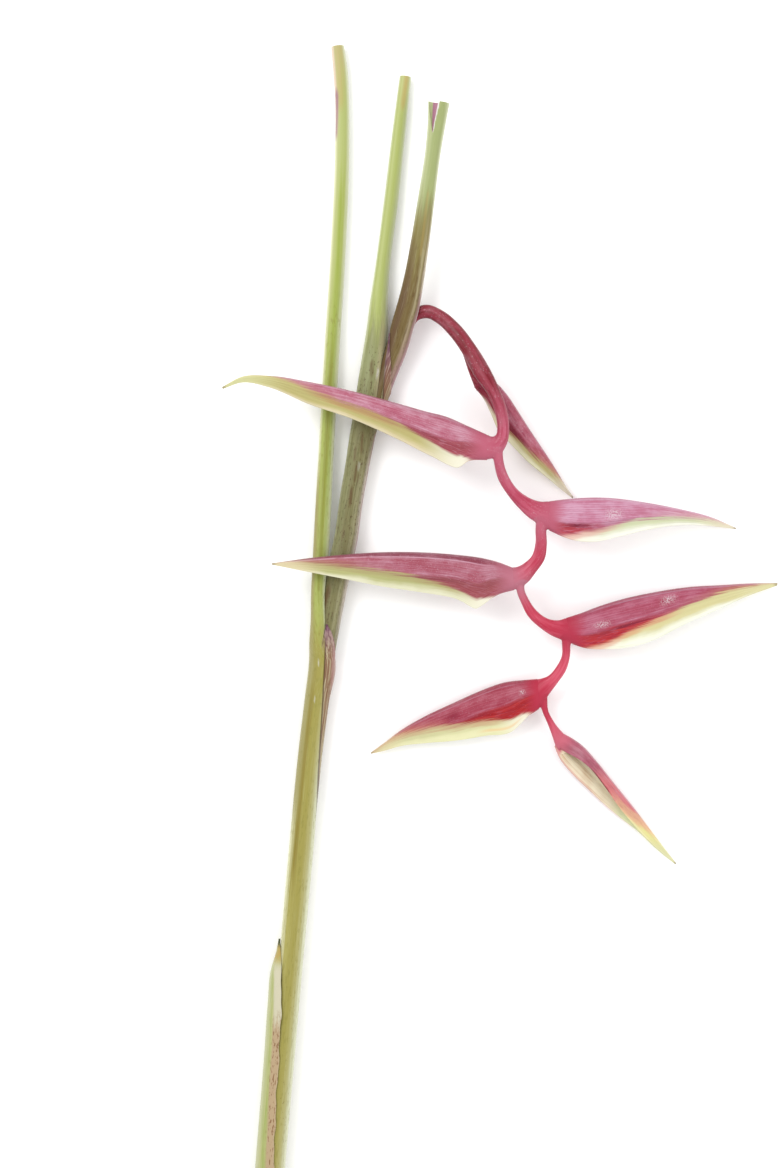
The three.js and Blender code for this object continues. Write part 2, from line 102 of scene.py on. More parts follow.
# The zigzag axis. A row is a cross-section: two edge points in plan (x, y, x, y), its middle height and
# its half thickness. Each stretch ends where a bract grows on from it, and the next stretch leaves from
# its lower side.
PEDUNCLE = [
    (-105, 311.5, -96, 308, 11, 5.3), (-96, 336, -87, 332, 12, 5.5), (-87.5, 360, -78.5, 353, 12, 5.6),
    (-78, 373.5, -72.5, 363.5, 14, 5.7), (-65.5, 377, -65, 365, 17, 6), (-51, 371, -56, 360, 22, 6.2),
    (-38, 359.5, -46, 349.5, 28, 6.4), (-23.5, 340, -34, 331.5, 35, 6.6),
    (-11.5, 319.5, -24.5, 312.5, 41, 6.8), (-2.5, 300, -13, 296, 44, 6.2), (3.5, 283, -7, 281, 45, 5.8),
    (5.5, 267.5, -5, 269, 45, 5.8), (3.5, 253.5, -6, 261.5, 44.5, 6), (-3.5, 243, -9.5, 260, 44, 6.3),
    (-13.5, 240, -14.5, 262, 44, 6.5),
]
FIRST_FOOT = [
    (-23.5, 340, -34, 331.5, 34, 5.8), (-18.5, 326.5, -29.5, 318, 32, 5.8), (-13, 312.5, -24, 304, 29.5, 5),
]
INTERNODES = [
    [
        (0, 249.5, -10, 249.5, 44, 4.8), (0.5, 240, -8, 239.5, 43.5, 4.6), (4.5, 227, -4.5, 224.5, 42, 4.4),
        (12.5, 215, 3.5, 211, 40.5, 4.6), (23, 207.5, 13, 199.5, 39, 5), (31.5, 204.5, 23, 190, 38, 5.6),
        (40.5, 204.5, 40.5, 179.5, 37, 6.5),
    ],
    [
        (29, 191, 38, 191, 37, 4.8), (28.5, 179.5, 38, 179.5, 36.5, 4.8),
        (28.5, 168.5, 38.5, 166.5, 36, 4.9), (25.5, 157.5, 36.5, 154, 35, 5),
        (19.5, 151.5, 29.5, 143.5, 34, 5.4), (13, 148, 20.5, 133, 33.5, 6),
        (8.5, 147.5, 10.5, 128, 33, 6.5),
    ],
    [
        (19.5, 135.5, 11.5, 134.5, 33, 4), (19.5, 128, 13, 125, 32.5, 3.9),
        (23.5, 119, 16.5, 116.5, 31.5, 3.9), (30.5, 109.5, 22.5, 105, 30, 4), (40, 103, 33, 95, 28, 4.4),
        (48, 101.5, 43.5, 88, 26, 5.2), (56, 103.5, 61.5, 81, 24, 6.5),
    ],
    [
        (52, 89.5, 60, 89.5, 24, 4), (52.5, 80, 60, 80, 23.5, 3.9), (52.5, 71, 59.5, 69.5, 22.5, 3.9),
        (47.5, 60.5, 56, 57, 21, 4), (41, 53, 49, 46.5, 19, 4.5), (35, 50.5, 42.5, 37.5, 17.5, 5.3),
        (31.5, 50, 33, 24, 16, 6),
    ],
    [
        (40.5, 34, 34, 33.5, 16, 3.3), (41, 23.5, 35.5, 23, 15.5, 3.2), (46, 13, 40.5, 11, 15, 3.3),
        (50, 7.5, 44, 2, 14, 3.8), (55, 2, 47.5, -8.5, 13, 5),
    ],
]

# Bracts. Places along are shares of the length, and places down are shares of the depth from the keel
# to the margin. The shape:
#   open    how far each margin stands off the middle at the bract's widest
#   rows    cross-sections from the keel to the open margin (x, y, x, y), with the middle height and the
#           fullest half thickness, and the far margin (x, y) too where the margins part
#   crease  the line where the flank folds, as (along, down)
#   ridge   how far down the flank the ridge beside the keel lies
#   corner  a peak of the margin, as (along, reach along, height)
# The colour:
#   edge    the line where the red ends, as (along, down)
#   hollow  how far along the crimson under the crease reaches; dark is how strong its dark patch is
#   back    how dark the strip behind the ridge is
#   lip     how far down the margin turns to its lip's tone
#   dust    how strong the bloom is
#   ochre   where the red's border is ochre, as (from, to, strength, how far into the red in mm)
#   blush   where the red turns paler and warmer, as (from, to, how far from its border in mm)
#   scuffs  pale spots, worn ones and on bract_6 a painted highlight, and bruise a dark
#           one, as (along, down, reach along, reach down)
#   seam    where along the margin an ochre fold runs; slit is where painted shadow darkens the near lip
#   tones   the colours that differ from BRACT_TONES
BRACT_DEFAULTS = dict(
    ridge=0.05, corner=(0.5, 1, 0), dark=0.7, back=0.15, dust=1.0, ochre=(0.2, 0.9, 0.25, 1),
    blush=(0.45, 0.8, 9), scuffs=[], bruise=None, seam=None, slit=None,
)
BRACTS = [
    dict(
        open=1.6, hollow=0.5, dark=0.5, lip=0.8,
        rows=[
            (-13, 312.5, -24, 304, 29.5, 5), (-4, 307, -16.5, 295.5, 27, 7.5),
            (4, 298.5, -10, 283.5, 25, 9), (12.5, 286.5, -3, 268, 22, 10), (24, 269, 9.5, 254.5, 18.5, 9.5),
            (36.5, 251, 24.5, 239.5, 14.5, 8), (48.5, 233, 41.5, 226, 10, 5.5),
            (56.5, 220, 53, 216.5, 7, 3.3), (64, 209.5, 63.5, 208.5, 5, 1.2),
        ],
        edge=[(0, 1.1), (0.12, 0.95), (0.3, 0.8), (0.6, 0.62), (0.8, 0.35), (0.9, -0.1), (1, -0.3)],
        crease=[(0, 0.5), (0.3, 0.52), (0.6, 0.5), (1, 0.45)],
        tones=dict(
            keel=(180, 78, 100), light=(208, 120, 140), low=(140, 40, 56), base=(160, 64, 82),
            deep=(148, 52, 72), flame=(176, 66, 82), green=(200, 202, 140), lip=(232, 232, 196),
            tip=(243, 241, 216), line=(196, 132, 148),
        ),
    ),
    dict(
        open=2.2, hollow=0.34, dark=0.2, dust=0.8, lip=0.93, ridge=0.06, corner=(0.115, 0.04, 1.2),
        ochre=(0.33, 0.66, 0.8, 1),
        rows=[
            (-14.5, 262, -13.5, 240, 44, 6.5), (-30, 269, -28, 239.5, 43.5, 9),
            (-45.5, 276, -39.5, 234.5, 43, 10.5), (-67, 282, -62.5, 244, 42, 11.5),
            (-93, 289.5, -90, 258, 40.5, 11.5), (-127.5, 299, -127.5, 275, 39, 10),
            (-166.5, 307.5, -166.5, 288.5, 38, 8), (-201, 313, -202.5, 303.5, 37, 5),
            (-224.5, 312.5, -224.5, 307.5, 36, 3), (-242.5, 303.5, -242, 302, 35, 1),
        ],
        edge=[
            (0, 1.1), (0.06, 0.98), (0.1, 0.78), (0.19, 0.69), (0.26, 0.64), (0.33, 0.56), (0.45, 0.55),
            (0.55, 0.56), (0.64, 0.47), (0.7, 0.32), (0.78, 0.1), (0.84, -0.2), (1, -0.4),
        ],
        crease=[(0, 0.42), (0.17, 0.5), (0.3, 0.5), (0.5, 0.48), (0.75, 0.42), (1, 0.4)],
        tones=dict(
            keel=(198, 112, 134), light=(220, 156, 176), low=(170, 82, 92), base=(206, 110, 132),
            deep=(176, 82, 104), flame=(196, 104, 114), green=(194, 184, 124), lip=(228, 214, 180),
            tip=(220, 218, 164), blush=(214, 160, 154),
        ),
    ),
    dict(
        open=2, hollow=0.22, dark=0.85, dust=0.35, lip=0.84, ochre=(0.04, 0.34, 0.7, 1.5),
        scuffs=[(0.33, 0.42, 0.07, 0.22)], ridge=0.05,
        rows=[
            (40.5, 204.5, 40.5, 179.5, 37, 6.5), (51.5, 206, 51.5, 174.5, 35.5, 9),
            (67.5, 207.5, 65.5, 170.5, 33.5, 10.5), (85, 208, 82.5, 170, 31, 11.5),
            (102.5, 207, 102.5, 174.5, 28, 11.5), (125, 204, 125, 180, 24, 10),
            (156, 198.5, 156, 184.5, 17, 7), (183.5, 192, 183.5, 184, 10, 4),
            (207, 182.5, 207, 181.5, 4, 1.2),
        ],
        edge=[
            (0, 1.1), (0.09, 0.95), (0.18, 0.8), (0.36, 0.68), (0.45, 0.59), (0.66, 0.56), (0.81, 0.5),
            (0.93, 0.21), (0.97, -0.2), (1, -0.4),
        ],
        crease=[(0, 0.64), (0.16, 0.58), (0.3, 0.57), (0.6, 0.52), (1, 0.45)],
        tones=dict(
            keel=(212, 134, 162), light=(230, 174, 200), low=(184, 70, 84), base=(204, 108, 130),
            deep=(200, 110, 138), flame=(216, 88, 98), green=(222, 228, 188), lip=(250, 250, 236),
            tip=(240, 232, 204), line=(236, 192, 214), blush=(240, 196, 198), ochre=(244, 188, 176),
        ),
    ),
    dict(
        open=2.2, hollow=0.42, dark=0.25, back=0.5, dust=0.7, lip=0.88, ridge=0.13,
        corner=(0.145, 0.055, 3.0),
        rows=[
            (8.5, 147.5, 10.5, 128, 33, 6.5), (-2, 151.5, -1, 125, 33, 9),
            (-17.5, 155.5, -21, 115, 33.5, 11), (-41, 158.5, -43.5, 121.5, 34, 12),
            (-71, 160.5, -73, 126.5, 34.5, 11.5), (-106, 160.5, -106, 131.5, 35, 10),
            (-136, 158.5, -138, 138, 35.5, 8), (-166.5, 155.5, -166.5, 143.5, 35.5, 5),
            (-199.5, 151, -199.5, 150, 35, 1.2),
        ],
        edge=[
            (0, 1.1), (0.08, 0.98), (0.13, 0.82), (0.22, 0.8), (0.33, 0.72), (0.42, 0.6), (0.56, 0.55),
            (0.72, 0.52), (0.82, 0.38), (0.9, 0.1), (0.95, -0.2), (1, -0.4),
        ],
        crease=[(0, 0.45), (0.23, 0.54), (0.42, 0.58), (0.6, 0.5), (0.81, 0.38), (1, 0.35)],
        tones=dict(
            keel=(184, 100, 116), light=(202, 132, 150), low=(172, 90, 98), base=(204, 126, 144),
            deep=(168, 80, 94), flame=(188, 108, 112), green=(188, 188, 130), lip=(232, 230, 200),
            tip=(230, 216, 176), blush=(192, 138, 118), ochre=(196, 150, 116),
        ),
    ),
    dict(
        open=2, hollow=0.4, lip=0.84, dust=0.25, ochre=(0.04, 0.5, 0.55, 1.5),
        scuffs=[(0.46, 0.22, 0.06, 0.16), (0.15, 0.42, 0.06, 0.12)], ridge=0.05,
        rows=[
            (56, 103.5, 61.5, 81, 24, 6.5), (68.5, 107.5, 72.5, 77.5, 23, 9), (86, 114, 90.5, 76.5, 21, 11),
            (108, 120.5, 110.5, 78, 19, 11.5), (134.5, 126, 132, 84, 17, 11),
            (165.5, 130.5, 163.5, 99.5, 13.5, 9), (192.5, 132, 192.5, 112, 10, 6.5),
            (219, 133.5, 219, 123.5, 6.5, 4), (243.5, 134, 243.5, 132, 3.5, 1.2),
        ],
        edge=[
            (0, 1.1), (0.09, 0.96), (0.17, 0.86), (0.27, 0.69), (0.4, 0.58), (0.51, 0.53), (0.62, 0.47),
            (0.77, 0.31), (0.89, 0.25), (0.96, -0.1), (1, -0.4),
        ],
        crease=[(0, 0.63), (0.12, 0.58), (0.23, 0.5), (0.39, 0.45), (0.62, 0.4), (1, 0.35)],
        tones=dict(
            keel=(186, 88, 110), light=(204, 118, 142), low=(188, 46, 58), base=(196, 66, 88),
            deep=(166, 70, 92), flame=(222, 76, 78), green=(220, 212, 158), lip=(248, 250, 232),
            tip=(228, 222, 172), blush=(204, 134, 116), ochre=(240, 158, 126), line=(214, 160, 182),
        ),
    ),
    dict(
        open=2, hollow=0.56, dark=0.4, bruise=(0.5, 0.34, 0.07, 0.2), lip=0.82, dust=0.35,
        # its pale spot near the base is a painted highlight
        seam=(0.12, 0.34), scuffs=[(0.09, 0.3, 0.03, 0.1)], ridge=0.07, ochre=(0.25, 1.0, 0.7, 1),
        rows=[
            (31.5, 50, 33, 24, 16, 6), (19, 49, 23.5, 17.5, 15, 8.5), (3.5, 47, 9, 4, 12.5, 10),
            (-16.5, 40, -13, 0.5, 10.6, 11), (-40, 29.5, -37.5, -3.5, 10.3, 10.8),
            (-66.5, 17, -64.5, -6, 9.2, 8.5), (-88.5, 4, -88.5, -9, 7.5, 5.5),
            (-101.5, -6, -101.5, -13, 6, 3.2), (-114, -15, -114, -16, 5, 1.2),
        ],
        edge=[
            (0, 1.1), (0.05, 0.96), (0.11, 0.82), (0.24, 0.7), (0.38, 0.65), (0.49, 0.58), (0.59, 0.48),
            (0.7, 0.42), (0.79, 0.3), (0.86, 0.1), (0.92, -0.2), (1, -0.4),
        ],
        crease=[(0, 0.41), (0.12, 0.42), (0.26, 0.45), (0.37, 0.47), (0.45, 0.52), (0.7, 0.42), (1, 0.38)],
        tones=dict(
            keel=(178, 76, 94), light=(194, 100, 118), low=(176, 36, 48), base=(200, 64, 86),
            deep=(164, 54, 74), flame=(212, 66, 66), vein=(142, 40, 62), green=(216, 214, 164),
            lip=(236, 234, 188), tip=(232, 222, 178), blush=(214, 138, 122), ochre=(220, 176, 140),
            line=(206, 138, 156),
        ),
    ),
    dict(
        open=5, hollow=0.02, dark=0, dust=0.4, slit=(0.26, 0.44), lip=0.8, blush=(0.24, 0.38, 30),
        ochre=(0.48, 0.8, 0.9, 7),
        rows=[
            (55, 2, 47.5, -8.5, 13, 5, 47, -9), (63, -2.5, 57, -14, 12.5, 7, 52.5, -21),
            (72, -9, 66.5, -19, 12, 8.5, 63, -33.5), (84.5, -23, 76.5, -26.5, 11.5, 9, 76.5, -46.5),
            (100, -42.5, 91.5, -45, 11, 8.5, 91.5, -60.5), (115, -61, 103, -61.5, 10, 7.5, 106.5, -73),
            (129.5, -80, 122.5, -84.5, 8, 5.5, 122.5, -85.5), (142, -96.5, 137.5, -99, 6, 3.2, 137, -99.5),
            (154.5, -112.5, 154, -113, 4, 1.2, 154, -113.5),
        ],
        edge=[
            (0, 1.7), (0.3, 1.4), (0.48, 1.15), (0.58, 0.85), (0.66, 0.4), (0.72, 0), (0.8, -0.4),
            (1, -0.6),
        ],
        crease=[(0, 0.5), (0.5, 0.5), (1, 0.45)],
        tones=dict(
            keel=(188, 94, 116), light=(212, 138, 154), low=(182, 94, 116), base=(222, 118, 136),
            deep=(172, 80, 102), green=(238, 232, 160), lip=(240, 232, 176), tip=(234, 232, 184),
            blush=(252, 146, 146), ochre=(252, 200, 162), line=(226, 172, 182), inside=(242, 230, 202),
            # shade: the colour of the painted shadow inside
            shade=(206, 172, 136),
        ),
    ),
]
BRACTS = [SimpleNamespace(**(BRACT_DEFAULTS | bract)) for bract in BRACTS]

# ---------------------------------------------------------------- shapes from cross-sections

STALK_STEP = 2.5  # spacing of the cross-sections along a leaf
STALK_SIDES = 72


def unit(vectors):
    return vectors / np.linalg.norm(vectors, axis=-1, keepdims=True)


def ease(value, low, high):
    t = np.clip((value - low) / (high - low), 0, 1)
    return t * t * (3 - 2 * t)


def travelled(points):
    """The length along a line of points, up to each of them."""
    return np.concatenate([[0], np.cumsum(np.linalg.norm(np.diff(points, axis=0), axis=1))])


def smooth(rows, at, count):
    """`count` rows at even steps on a smooth curve through the rows, whose places along it are `at`."""
    rows = np.array(rows, float)
    slopes = np.gradient(rows, at, axis=0)
    want = np.linspace(0, at[-1], count)
    i = np.clip(np.searchsorted(at, want, side="right") - 1, 0, len(at) - 2)
    span = (at[i + 1] - at[i])[:, None]
    t = (want - at[i])[:, None] / span
    start = (1 + 2 * t) * (1 - t) ** 2 * rows[i] + t * (1 - t) ** 2 * span * slopes[i]
    end = t**2 * (3 - 2 * t) * rows[i + 1] - t**2 * (1 - t) * span * slopes[i + 1]
    return start + end


def smooth_stem(rows, step=STALK_STEP):
    """Rows [x, y, z, half width, half height] of a stem, every `step` along it."""
    at = travelled(np.array(rows, float)[:, :3])
    return smooth(rows, at, int(at[-1] / step) + 1)


def middles(sections):
    return np.column_stack([(sections[:, :2] + sections[:, 2:4]) / 2, sections[:, 4]])


def smooth_sections(rows, count):
    """Rows of a stretch that is given by its edge points, `count` of them at even steps."""
    return smooth(rows, travelled(middles(np.array(rows, float))), count)


def stem_rings(rows, sides, grow=0.0):
    """Oval rings round a stem's middle line, square to it, `grow` larger all round."""
    centre = rows[:, :3]
    ahead = unit(np.gradient(centre, axis=0))
    side = unit(np.cross(ahead, (0, 0, 1)))
    up = np.cross(side, ahead)
    turn = np.linspace(0, 2 * np.pi, sides, endpoint=False)
    wide = (rows[:, 3:4] + grow) * np.cos(turn)
    high = (rows[:, 4:5] + grow) * np.sin(turn)
    rings = centre[:, None] + wide[..., None] * side[:, None] + high[..., None] * up[:, None]
    rings[0] -= ahead[0] * grow
    rings[-1] += ahead[-1] * grow
    return rings


def section_rings(rows, sides, grow=0.0):
    """Oval rings through pairs of edge points."""
    start, end = rows[:, :2], rows[:, 2:4]
    width = np.linalg.norm(end - start, axis=1, keepdims=True)
    turn = (np.arange(sides) + 0.5) * 2 * np.pi / sides
    reach = (0.5 + grow / width) * np.cos(turn)
    plan = ((start + end) / 2)[:, None] + reach[..., None] * (end - start)[:, None]
    height = rows[:, 4:5] + (rows[:, 5:6] + grow) * np.sin(turn)
    return np.concatenate([plan, height[..., None]], axis=2)


def ring_faces(rings, count):
    """Faces of a closed form through rings of `count` points. Its ends are strips between a ring's halves."""
    around = np.arange(count)
    nxt = (around + 1) % count
    base = np.arange(rings - 1)[:, None] * count
    quads = np.stack([base + around, base + nxt, base + count + nxt, base + count + around], axis=2)
    half = np.arange(count // 2 - 1)
    strip = np.stack([half, count - 1 - half, count - 2 - half, half + 1], axis=1)
    last = (rings - 1) * count + strip[:, ::-1]
    return np.concatenate([quads.reshape(-1, 4), strip, last])


def loft(name, rings):
    """A closed mesh object through rings of points in millimetres."""
    count = rings.shape[1]
    mesh = bpy.data.meshes.new(name)
    mesh.from_pydata((rings.reshape(-1, 3) * MM).tolist(), [], ring_faces(len(rings), count).tolist())
    mesh.validate()
    piece = bpy.data.objects.new(name, mesh)
    bpy.context.scene.collection.objects.link(piece)
    return outwards(piece)


def outwards(piece):
    """Turns the faces outwards where the mesh's volume comes out negative."""
    mesh = piece.data
    corners = positions(mesh)[triangles(mesh)]
    volume = np.einsum("ij,ij->i", corners[:, 0], np.cross(corners[:, 1], corners[:, 2])).sum()
    if volume < 0:
        mesh.flip_normals()
    return piece


def triangles(mesh):
    mesh.calc_loop_triangles()
    out = np.zeros(len(mesh.loop_triangles) * 3, int)
    mesh.loop_triangles.foreach_get("vertices", out)
    return out.reshape(-1, 3)


def positions(mesh):
    out = np.zeros(len(mesh.vertices) * 3)
    mesh.vertices.foreach_get("co", out)
    return out.reshape(-1, 3)


def move_to(mesh, points):
    mesh.vertices.foreach_set("co", points.ravel())
    mesh.update()


def settle(piece):
    """Turns the piece's modifiers into its mesh."""
    made = bpy.data.meshes.new_from_object(piece.evaluated_get(bpy.context.evaluated_depsgraph_get()))
    piece.modifiers.clear()
    old = piece.data
    piece.data = made
    bpy.data.meshes.remove(old)
    return piece


def combine(piece, tool, operation):
    """Cuts another closed piece away from this one, or joins it on, and drops the other."""
    modifier = piece.modifiers.new(operation, "BOOLEAN")
    modifier.operation = operation
    modifier.solver = "MANIFOLD"
    modifier.object = tool
    settle(piece)
    discard(tool)
    return piece


def discard(piece):
    mesh = piece.data
    bpy.data.objects.remove(piece)
    bpy.data.meshes.remove(mesh)


def keep_largest(piece):
    """Drops the loose scraps that a cut leaves beside the piece."""
    mesh = piece.data
    edges = np.zeros(len(mesh.edges) * 2, int)
    mesh.edges.foreach_get("vertices", edges)
    a, b = edges.reshape(-1, 2).T
    label = np.arange(len(mesh.vertices))
    while (label[a] != label[b]).any():
        low = np.minimum(label[a], label[b])
        np.minimum.at(label, label[a], low)
        np.minimum.at(label, label[b], low)
        label = label[label]
    kept = label == np.bincount(label).argmax()
    if not kept.all():
        index = np.cumsum(kept) - 1
        faces = [[index[v] for v in p.vertices] for p in mesh.polygons if kept[p.vertices[0]]]
        made = bpy.data.meshes.new(mesh.name)
        made.from_pydata(positions(mesh)[kept].tolist(), [], faces)
        piece.data = made
        bpy.data.meshes.remove(mesh)
    return piece


def rest_on_surface(piece):
    """Flattens what would dip under the surface."""
    points = positions(piece.data)
    points[:, 2] = np.maximum(points[:, 2], 0)
    move_to(piece.data, points)


def write(mesh, name, values):
    """Stores a number or a vector for each vertex, for the materials."""
    values = np.asarray(values, np.float32)
    kind, field = ("FLOAT", "value") if values.ndim == 1 else ("FLOAT_VECTOR", "vector")
    attribute = mesh.attributes.new(name, kind, "POINT")
    attribute.data.foreach_set(field, values.ravel())


def finish_piece(piece, slot, *nodes, sharp=40):
    """Smooths the shading, hangs the piece under the root body and hides the CAD parts that it stands for."""
    piece.data.shade_smooth()
    piece.data.set_sharp_from_angle(angle=math.radians(sharp))
    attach(piece, "root")
    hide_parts(*nodes)


# ---------------------------------------------------------------- the leaves' sheaths and stalks


def nested(inset):
    return [(x, y, z, radius - inset, radius - inset) for x, y, z, radius in FALSE_STEM]


LEAF_LINES = {
    "outer": smooth_stem(nested(INSET["outer"]) + OUTER_STALK),
    "middle": smooth_stem(nested(INSET["middle"]) + MIDDLE_STALK),
    "inner": smooth_stem(nested(INSET["inner"]) + INNER_STALK),
}
HIDDEN_STALK = smooth_stem(nested(INSET["stalk"]) + INNER_FLOWER_STALK)
AXIS_SIDES = 48
AXIS_STEP = 1.0
ROOT = 0.92  # how slender the open stretch starts, inside the hidden one


def square_to(line, share):
    """Rows [x, y, z, half width, half height] of a middle line as edge points, `share` as wide and high."""
    line = np.array(line, float)
    ahead = unit(np.gradient(line[:, :2], axis=0))
    side = np.column_stack([ahead[:, 1], -ahead[:, 0]]) * line[:, 3:4] * share
    return np.column_stack([line[:, :2] - side, line[:, :2] + side, line[:, 2], line[:, 4] * share])


def stretch(rows):
    """The rows of one stretch of the axis, every AXIS_STEP along it."""
    rows = np.array(rows, float)
    return smooth_sections(rows, int(travelled(middles(rows))[-1] / AXIS_STEP) + 2)


def open_stalk():
    """The flower stalk from inside the sheaths to the second node."""
    return stretch([*square_to(INNER_FLOWER_STALK[-2:], ROOT), *PEDUNCLE])


def axis_tools(grow):
    """The flower stalk, `grow` larger all round, to cut the leaves that wrap it."""
    hidden = stem_rings(HIDDEN_STALK, AXIS_SIDES, grow)
    return [loft("tool", hidden), loft("tool", section_rings(open_stalk(), AXIS_SIDES, grow))]


# Where a sheath's outer margin lies over itself: its line as (y, angle in degrees from +X over the top),
# the height of its step, and the y where the layers have grown together.
SEAM = {
    "outer": (
        [
            (-605, -60), (-375, -40), (-180, -20), (-90, 5), (-46, 25), (-11, 38), (32, 59), (84, 80),
            (110, 90),
        ],
        0.55,
        105,
    ),
    "middle": ([(-605, 200), (90, 190), (240, 60), (300, 50), (600, 45)], 0.4, 350),
    "inner": ([(-605, 80), (240, 70), (330, 8), (400, 12), (520, 62), (560, 70)], 0.7, 535),
}
SEAM_RAMP = 0.012  # share of a turn in which the surface drops past the margin
SEAM_FADE = 40  # length over which the step ends


def seam_drop(which, y, turn):
    """How far the surface lies under the outer margin: a step past the seam that comes back round."""
    line, height, end = SEAM[which]
    places, angles = np.array(line, float).T
    past = np.mod(np.radians(np.interp(y, places, angles)) - turn, 2 * np.pi) / (2 * np.pi)
    step = np.clip(past / SEAM_RAMP, 0, 1) * (1 - past) ** 3
    return height * step * np.clip((end - y) / SEAM_FADE, 0, 1)


def leaf_rings(which):
    """The leaf's outside: oval rings with the step of its overlapping margin."""
    rows = LEAF_LINES[which]
    rings = stem_rings(rows, STALK_SIDES)
    turn = np.linspace(0, 2 * np.pi, STALK_SIDES, endpoint=False)
    drop = seam_drop(which, rows[:, 1:2], turn[None])
    share = 1 - drop / rows[:, 3:4]
    centre = rows[:, None, :3]
    return centre + (rings - centre) * share[..., None]


def outline_at(rows, y):
    """x, z, half width and half height of a stem that runs along y."""
    return (np.interp(y, rows[:, 1], rows[:, c]) for c in (0, 2, 3, 4))


def read_round(mesh, rows):
    """Each vertex, its turn about a middle line, its distance as a share, and the half width there."""
    points = positions(mesh) / MM
    x, z, wide, high = outline_at(rows, points[:, 1])
    right = (points[:, 0] - x) / wide
    up = (points[:, 2] - z) / high
    return points, np.arctan2(up, right), np.hypot(right, up), wide


def write_round(mesh, points, turn, wide):
    """Writes the skin's own coordinates, how far each vertex lies to the right, and how far along."""
    write(mesh, "grain", np.column_stack([wide * np.cos(turn), wide * np.sin(turn), points[:, 1]]))
    write(mesh, "right", np.cos(turn))
    write(mesh, "along", points[:, 1])


STROKE_TAPER = 3  # how much longer than wide the fading ends of a stroke are
STROKE_REACH = 1.5  # where a stroke has faded away, in its widths


def marks(y, turn, wide, strokes):
    """How strongly strokes cover each point.

    A stroke is (y, turn, y, turn, width in mm, strength), its turns in degrees from the top to the right.
    """
    cover = np.zeros(len(y))
    around = (np.pi / 2 - turn + np.pi) % (2 * np.pi) - np.pi
    for y0, turn0, y1, turn1, width, strength in strokes:
        t = np.clip((y - y0) / (y1 - y0), 0, 1)
        across = (around - np.radians(turn0 + (turn1 - turn0) * t)) * wide
        beyond = (y - (y0 + (y1 - y0) * t)) / STROKE_TAPER
        gap = np.hypot(across, beyond) / width
        cover = np.maximum(cover, strength * np.clip(STROKE_REACH - gap, 0, 1))
    return cover


HUGGING = GAP + 0.15  # the most that a sheath's inside stands off what it wraps


def dress_leaf(piece, which, inner_rows, paint):
    """Writes what the leaf materials read."""
    mesh = piece.data
    points, turn, _, wide = read_round(mesh, LEAF_LINES[which])
    write_round(mesh, points, turn, wide)
    write(mesh, "flap", flap_cover(mesh, which))
    write(mesh, "wrap", past_margin(points, which))
    # faces that hug the next leaf, which the material darkens as painted shade
    _, _, inner_share, inner_wide = read_round(mesh, inner_rows)
    hugging = (inner_share - 1) * inner_wide < HUGGING
    write(mesh, "inside", (hugging & (points[:, 1] < inner_rows[-1, 1])).astype(float))
    for colour, strokes in paint.items():
        write(mesh, colour, marks(points[:, 1], turn, wide, strokes))


# Where a sheath's margin crosses its front, as (y, x): right of it lies the part that wraps round the
# next leaf.
MARGIN = {
    "outer": [(-110, -163), (-33, -159.7), (32, -155.7), (84, -153.1), (119, -152.2)],
    "middle": [(235, -104), (288, -103.5), (306, -102.7), (326, -101), (338, -99), (350, -98)],
}
FAR = -99.0  # written where there is no margin


def past_margin(points, which):
    """How far each point lies right of its sheath's margin, FAR where the margin doesn't reach."""
    if which not in MARGIN:
        return np.full(len(points), FAR)
    places, line = np.array(MARGIN[which], float).T
    gap = points[:, 0] - np.interp(points[:, 1], places, line)
    beyond = np.maximum(places[0] - points[:, 1], points[:, 1] - places[-1])
    return np.where(beyond > 0, np.minimum(gap, -beyond), gap)


# Strokes of colour on the leaves, by turn from the top to the right: see marks().
PAINT = {
    "outer": {
        "lilac": [(95, 70, 60, 76, 1.3, 0.7), (60, 72, -45, 76, 1.2, 0.8), (560, -52, 530, -66, 2.2, 1.0)],
        "brown": [(60, 52, 22, 54, 1.2, 0.7), (20, 42, -5, 46, 0.7, 0.8), (45, 60, 20, 62, 0.6, 0.6)],
        "pale": [(66, -16, 63, -14, 0.35, 0.6), (35, -12, 31, -10, 0.4, 0.6), (78, 45, 60, 50, 1.2, 0.5)],
        "ochre": [(602, 5, 560, -15, 3.5, 0.4)],
    },
    "middle": {
        "lilac": [(262, 76, 150, 78, 1.0, 0.8)],
        "brown": [
            (324, -5, 318, 0, 1.6, 0.75), (262, 0, 250, 8, 1.1, 0.7), (250, -22, 243, -20, 0.9, 0.7),
            (235, -2, 224, 0, 0.9, 0.8), (214, -6, 205, -2, 1.3, 0.8), (228, 14, 222, 16, 0.6, 0.6),
            (180, -20, 174, -18, 0.8, 0.35), (125, -30, 96, -50, 2.4, 0.85),
        ],
        "pale": [(319, 28, 314, 26, 0.8, 0.9), (238, 8, 234, 8, 0.5, 0.7)],
        "ochre": [(574, 15, 556, 10, 2.2, 0.6)],
    },
    "inner": {
        "lilac": [(380, 62, 300, 60, 2.0, 0.5)],
        "brown": [(420, -62, 300, -60, 4.5, 0.55)],
        "pale": [(440, 75, 300, 74, 1.0, 0.6)],
        "ochre": [(470, 5, 420, 12, 1.0, 0.3)],
    },
}

# Flaps, where a sheath's margins stay wrapped round the next leaf past its mouth: the leaf that each
# wraps, its thickness, and rows of (y, first angle, last angle), in degrees from +X over the top.
FLAPS = {
    "outer": (
        "middle",
        0.8,
        [
            (98.5, 98, 95), (95, 98, 84), (91.4, 98, 70), (86, 98, 54), (80, 98, 38), (67, 98, 5),
            (55, 98, -50), (45, 100, -110), (32, 100, -110),
        ],
    ),
    "middle": (
        "inner",
        0.7,
        [
            (352.5, 160, 156), (347, 152, 145), (340, 143, 131), (325.7, 124, 92), (307.5, 93, 49),
            (297, 76, 0), (285, 62, -90), (270, 60, -100), (250, 60, -100),
        ],
    ),
}
FLAP_STEP = 1.0
FLAP_ROUND = 40
FLAP_SLACK = 0.4  # how far outside its shell a vertex still counts as the flap's
FLAP_EDGE = 4  # and how many degrees past its margins
FLAP_FADE = 5  # the row from which its own colour comes in, towards its tip
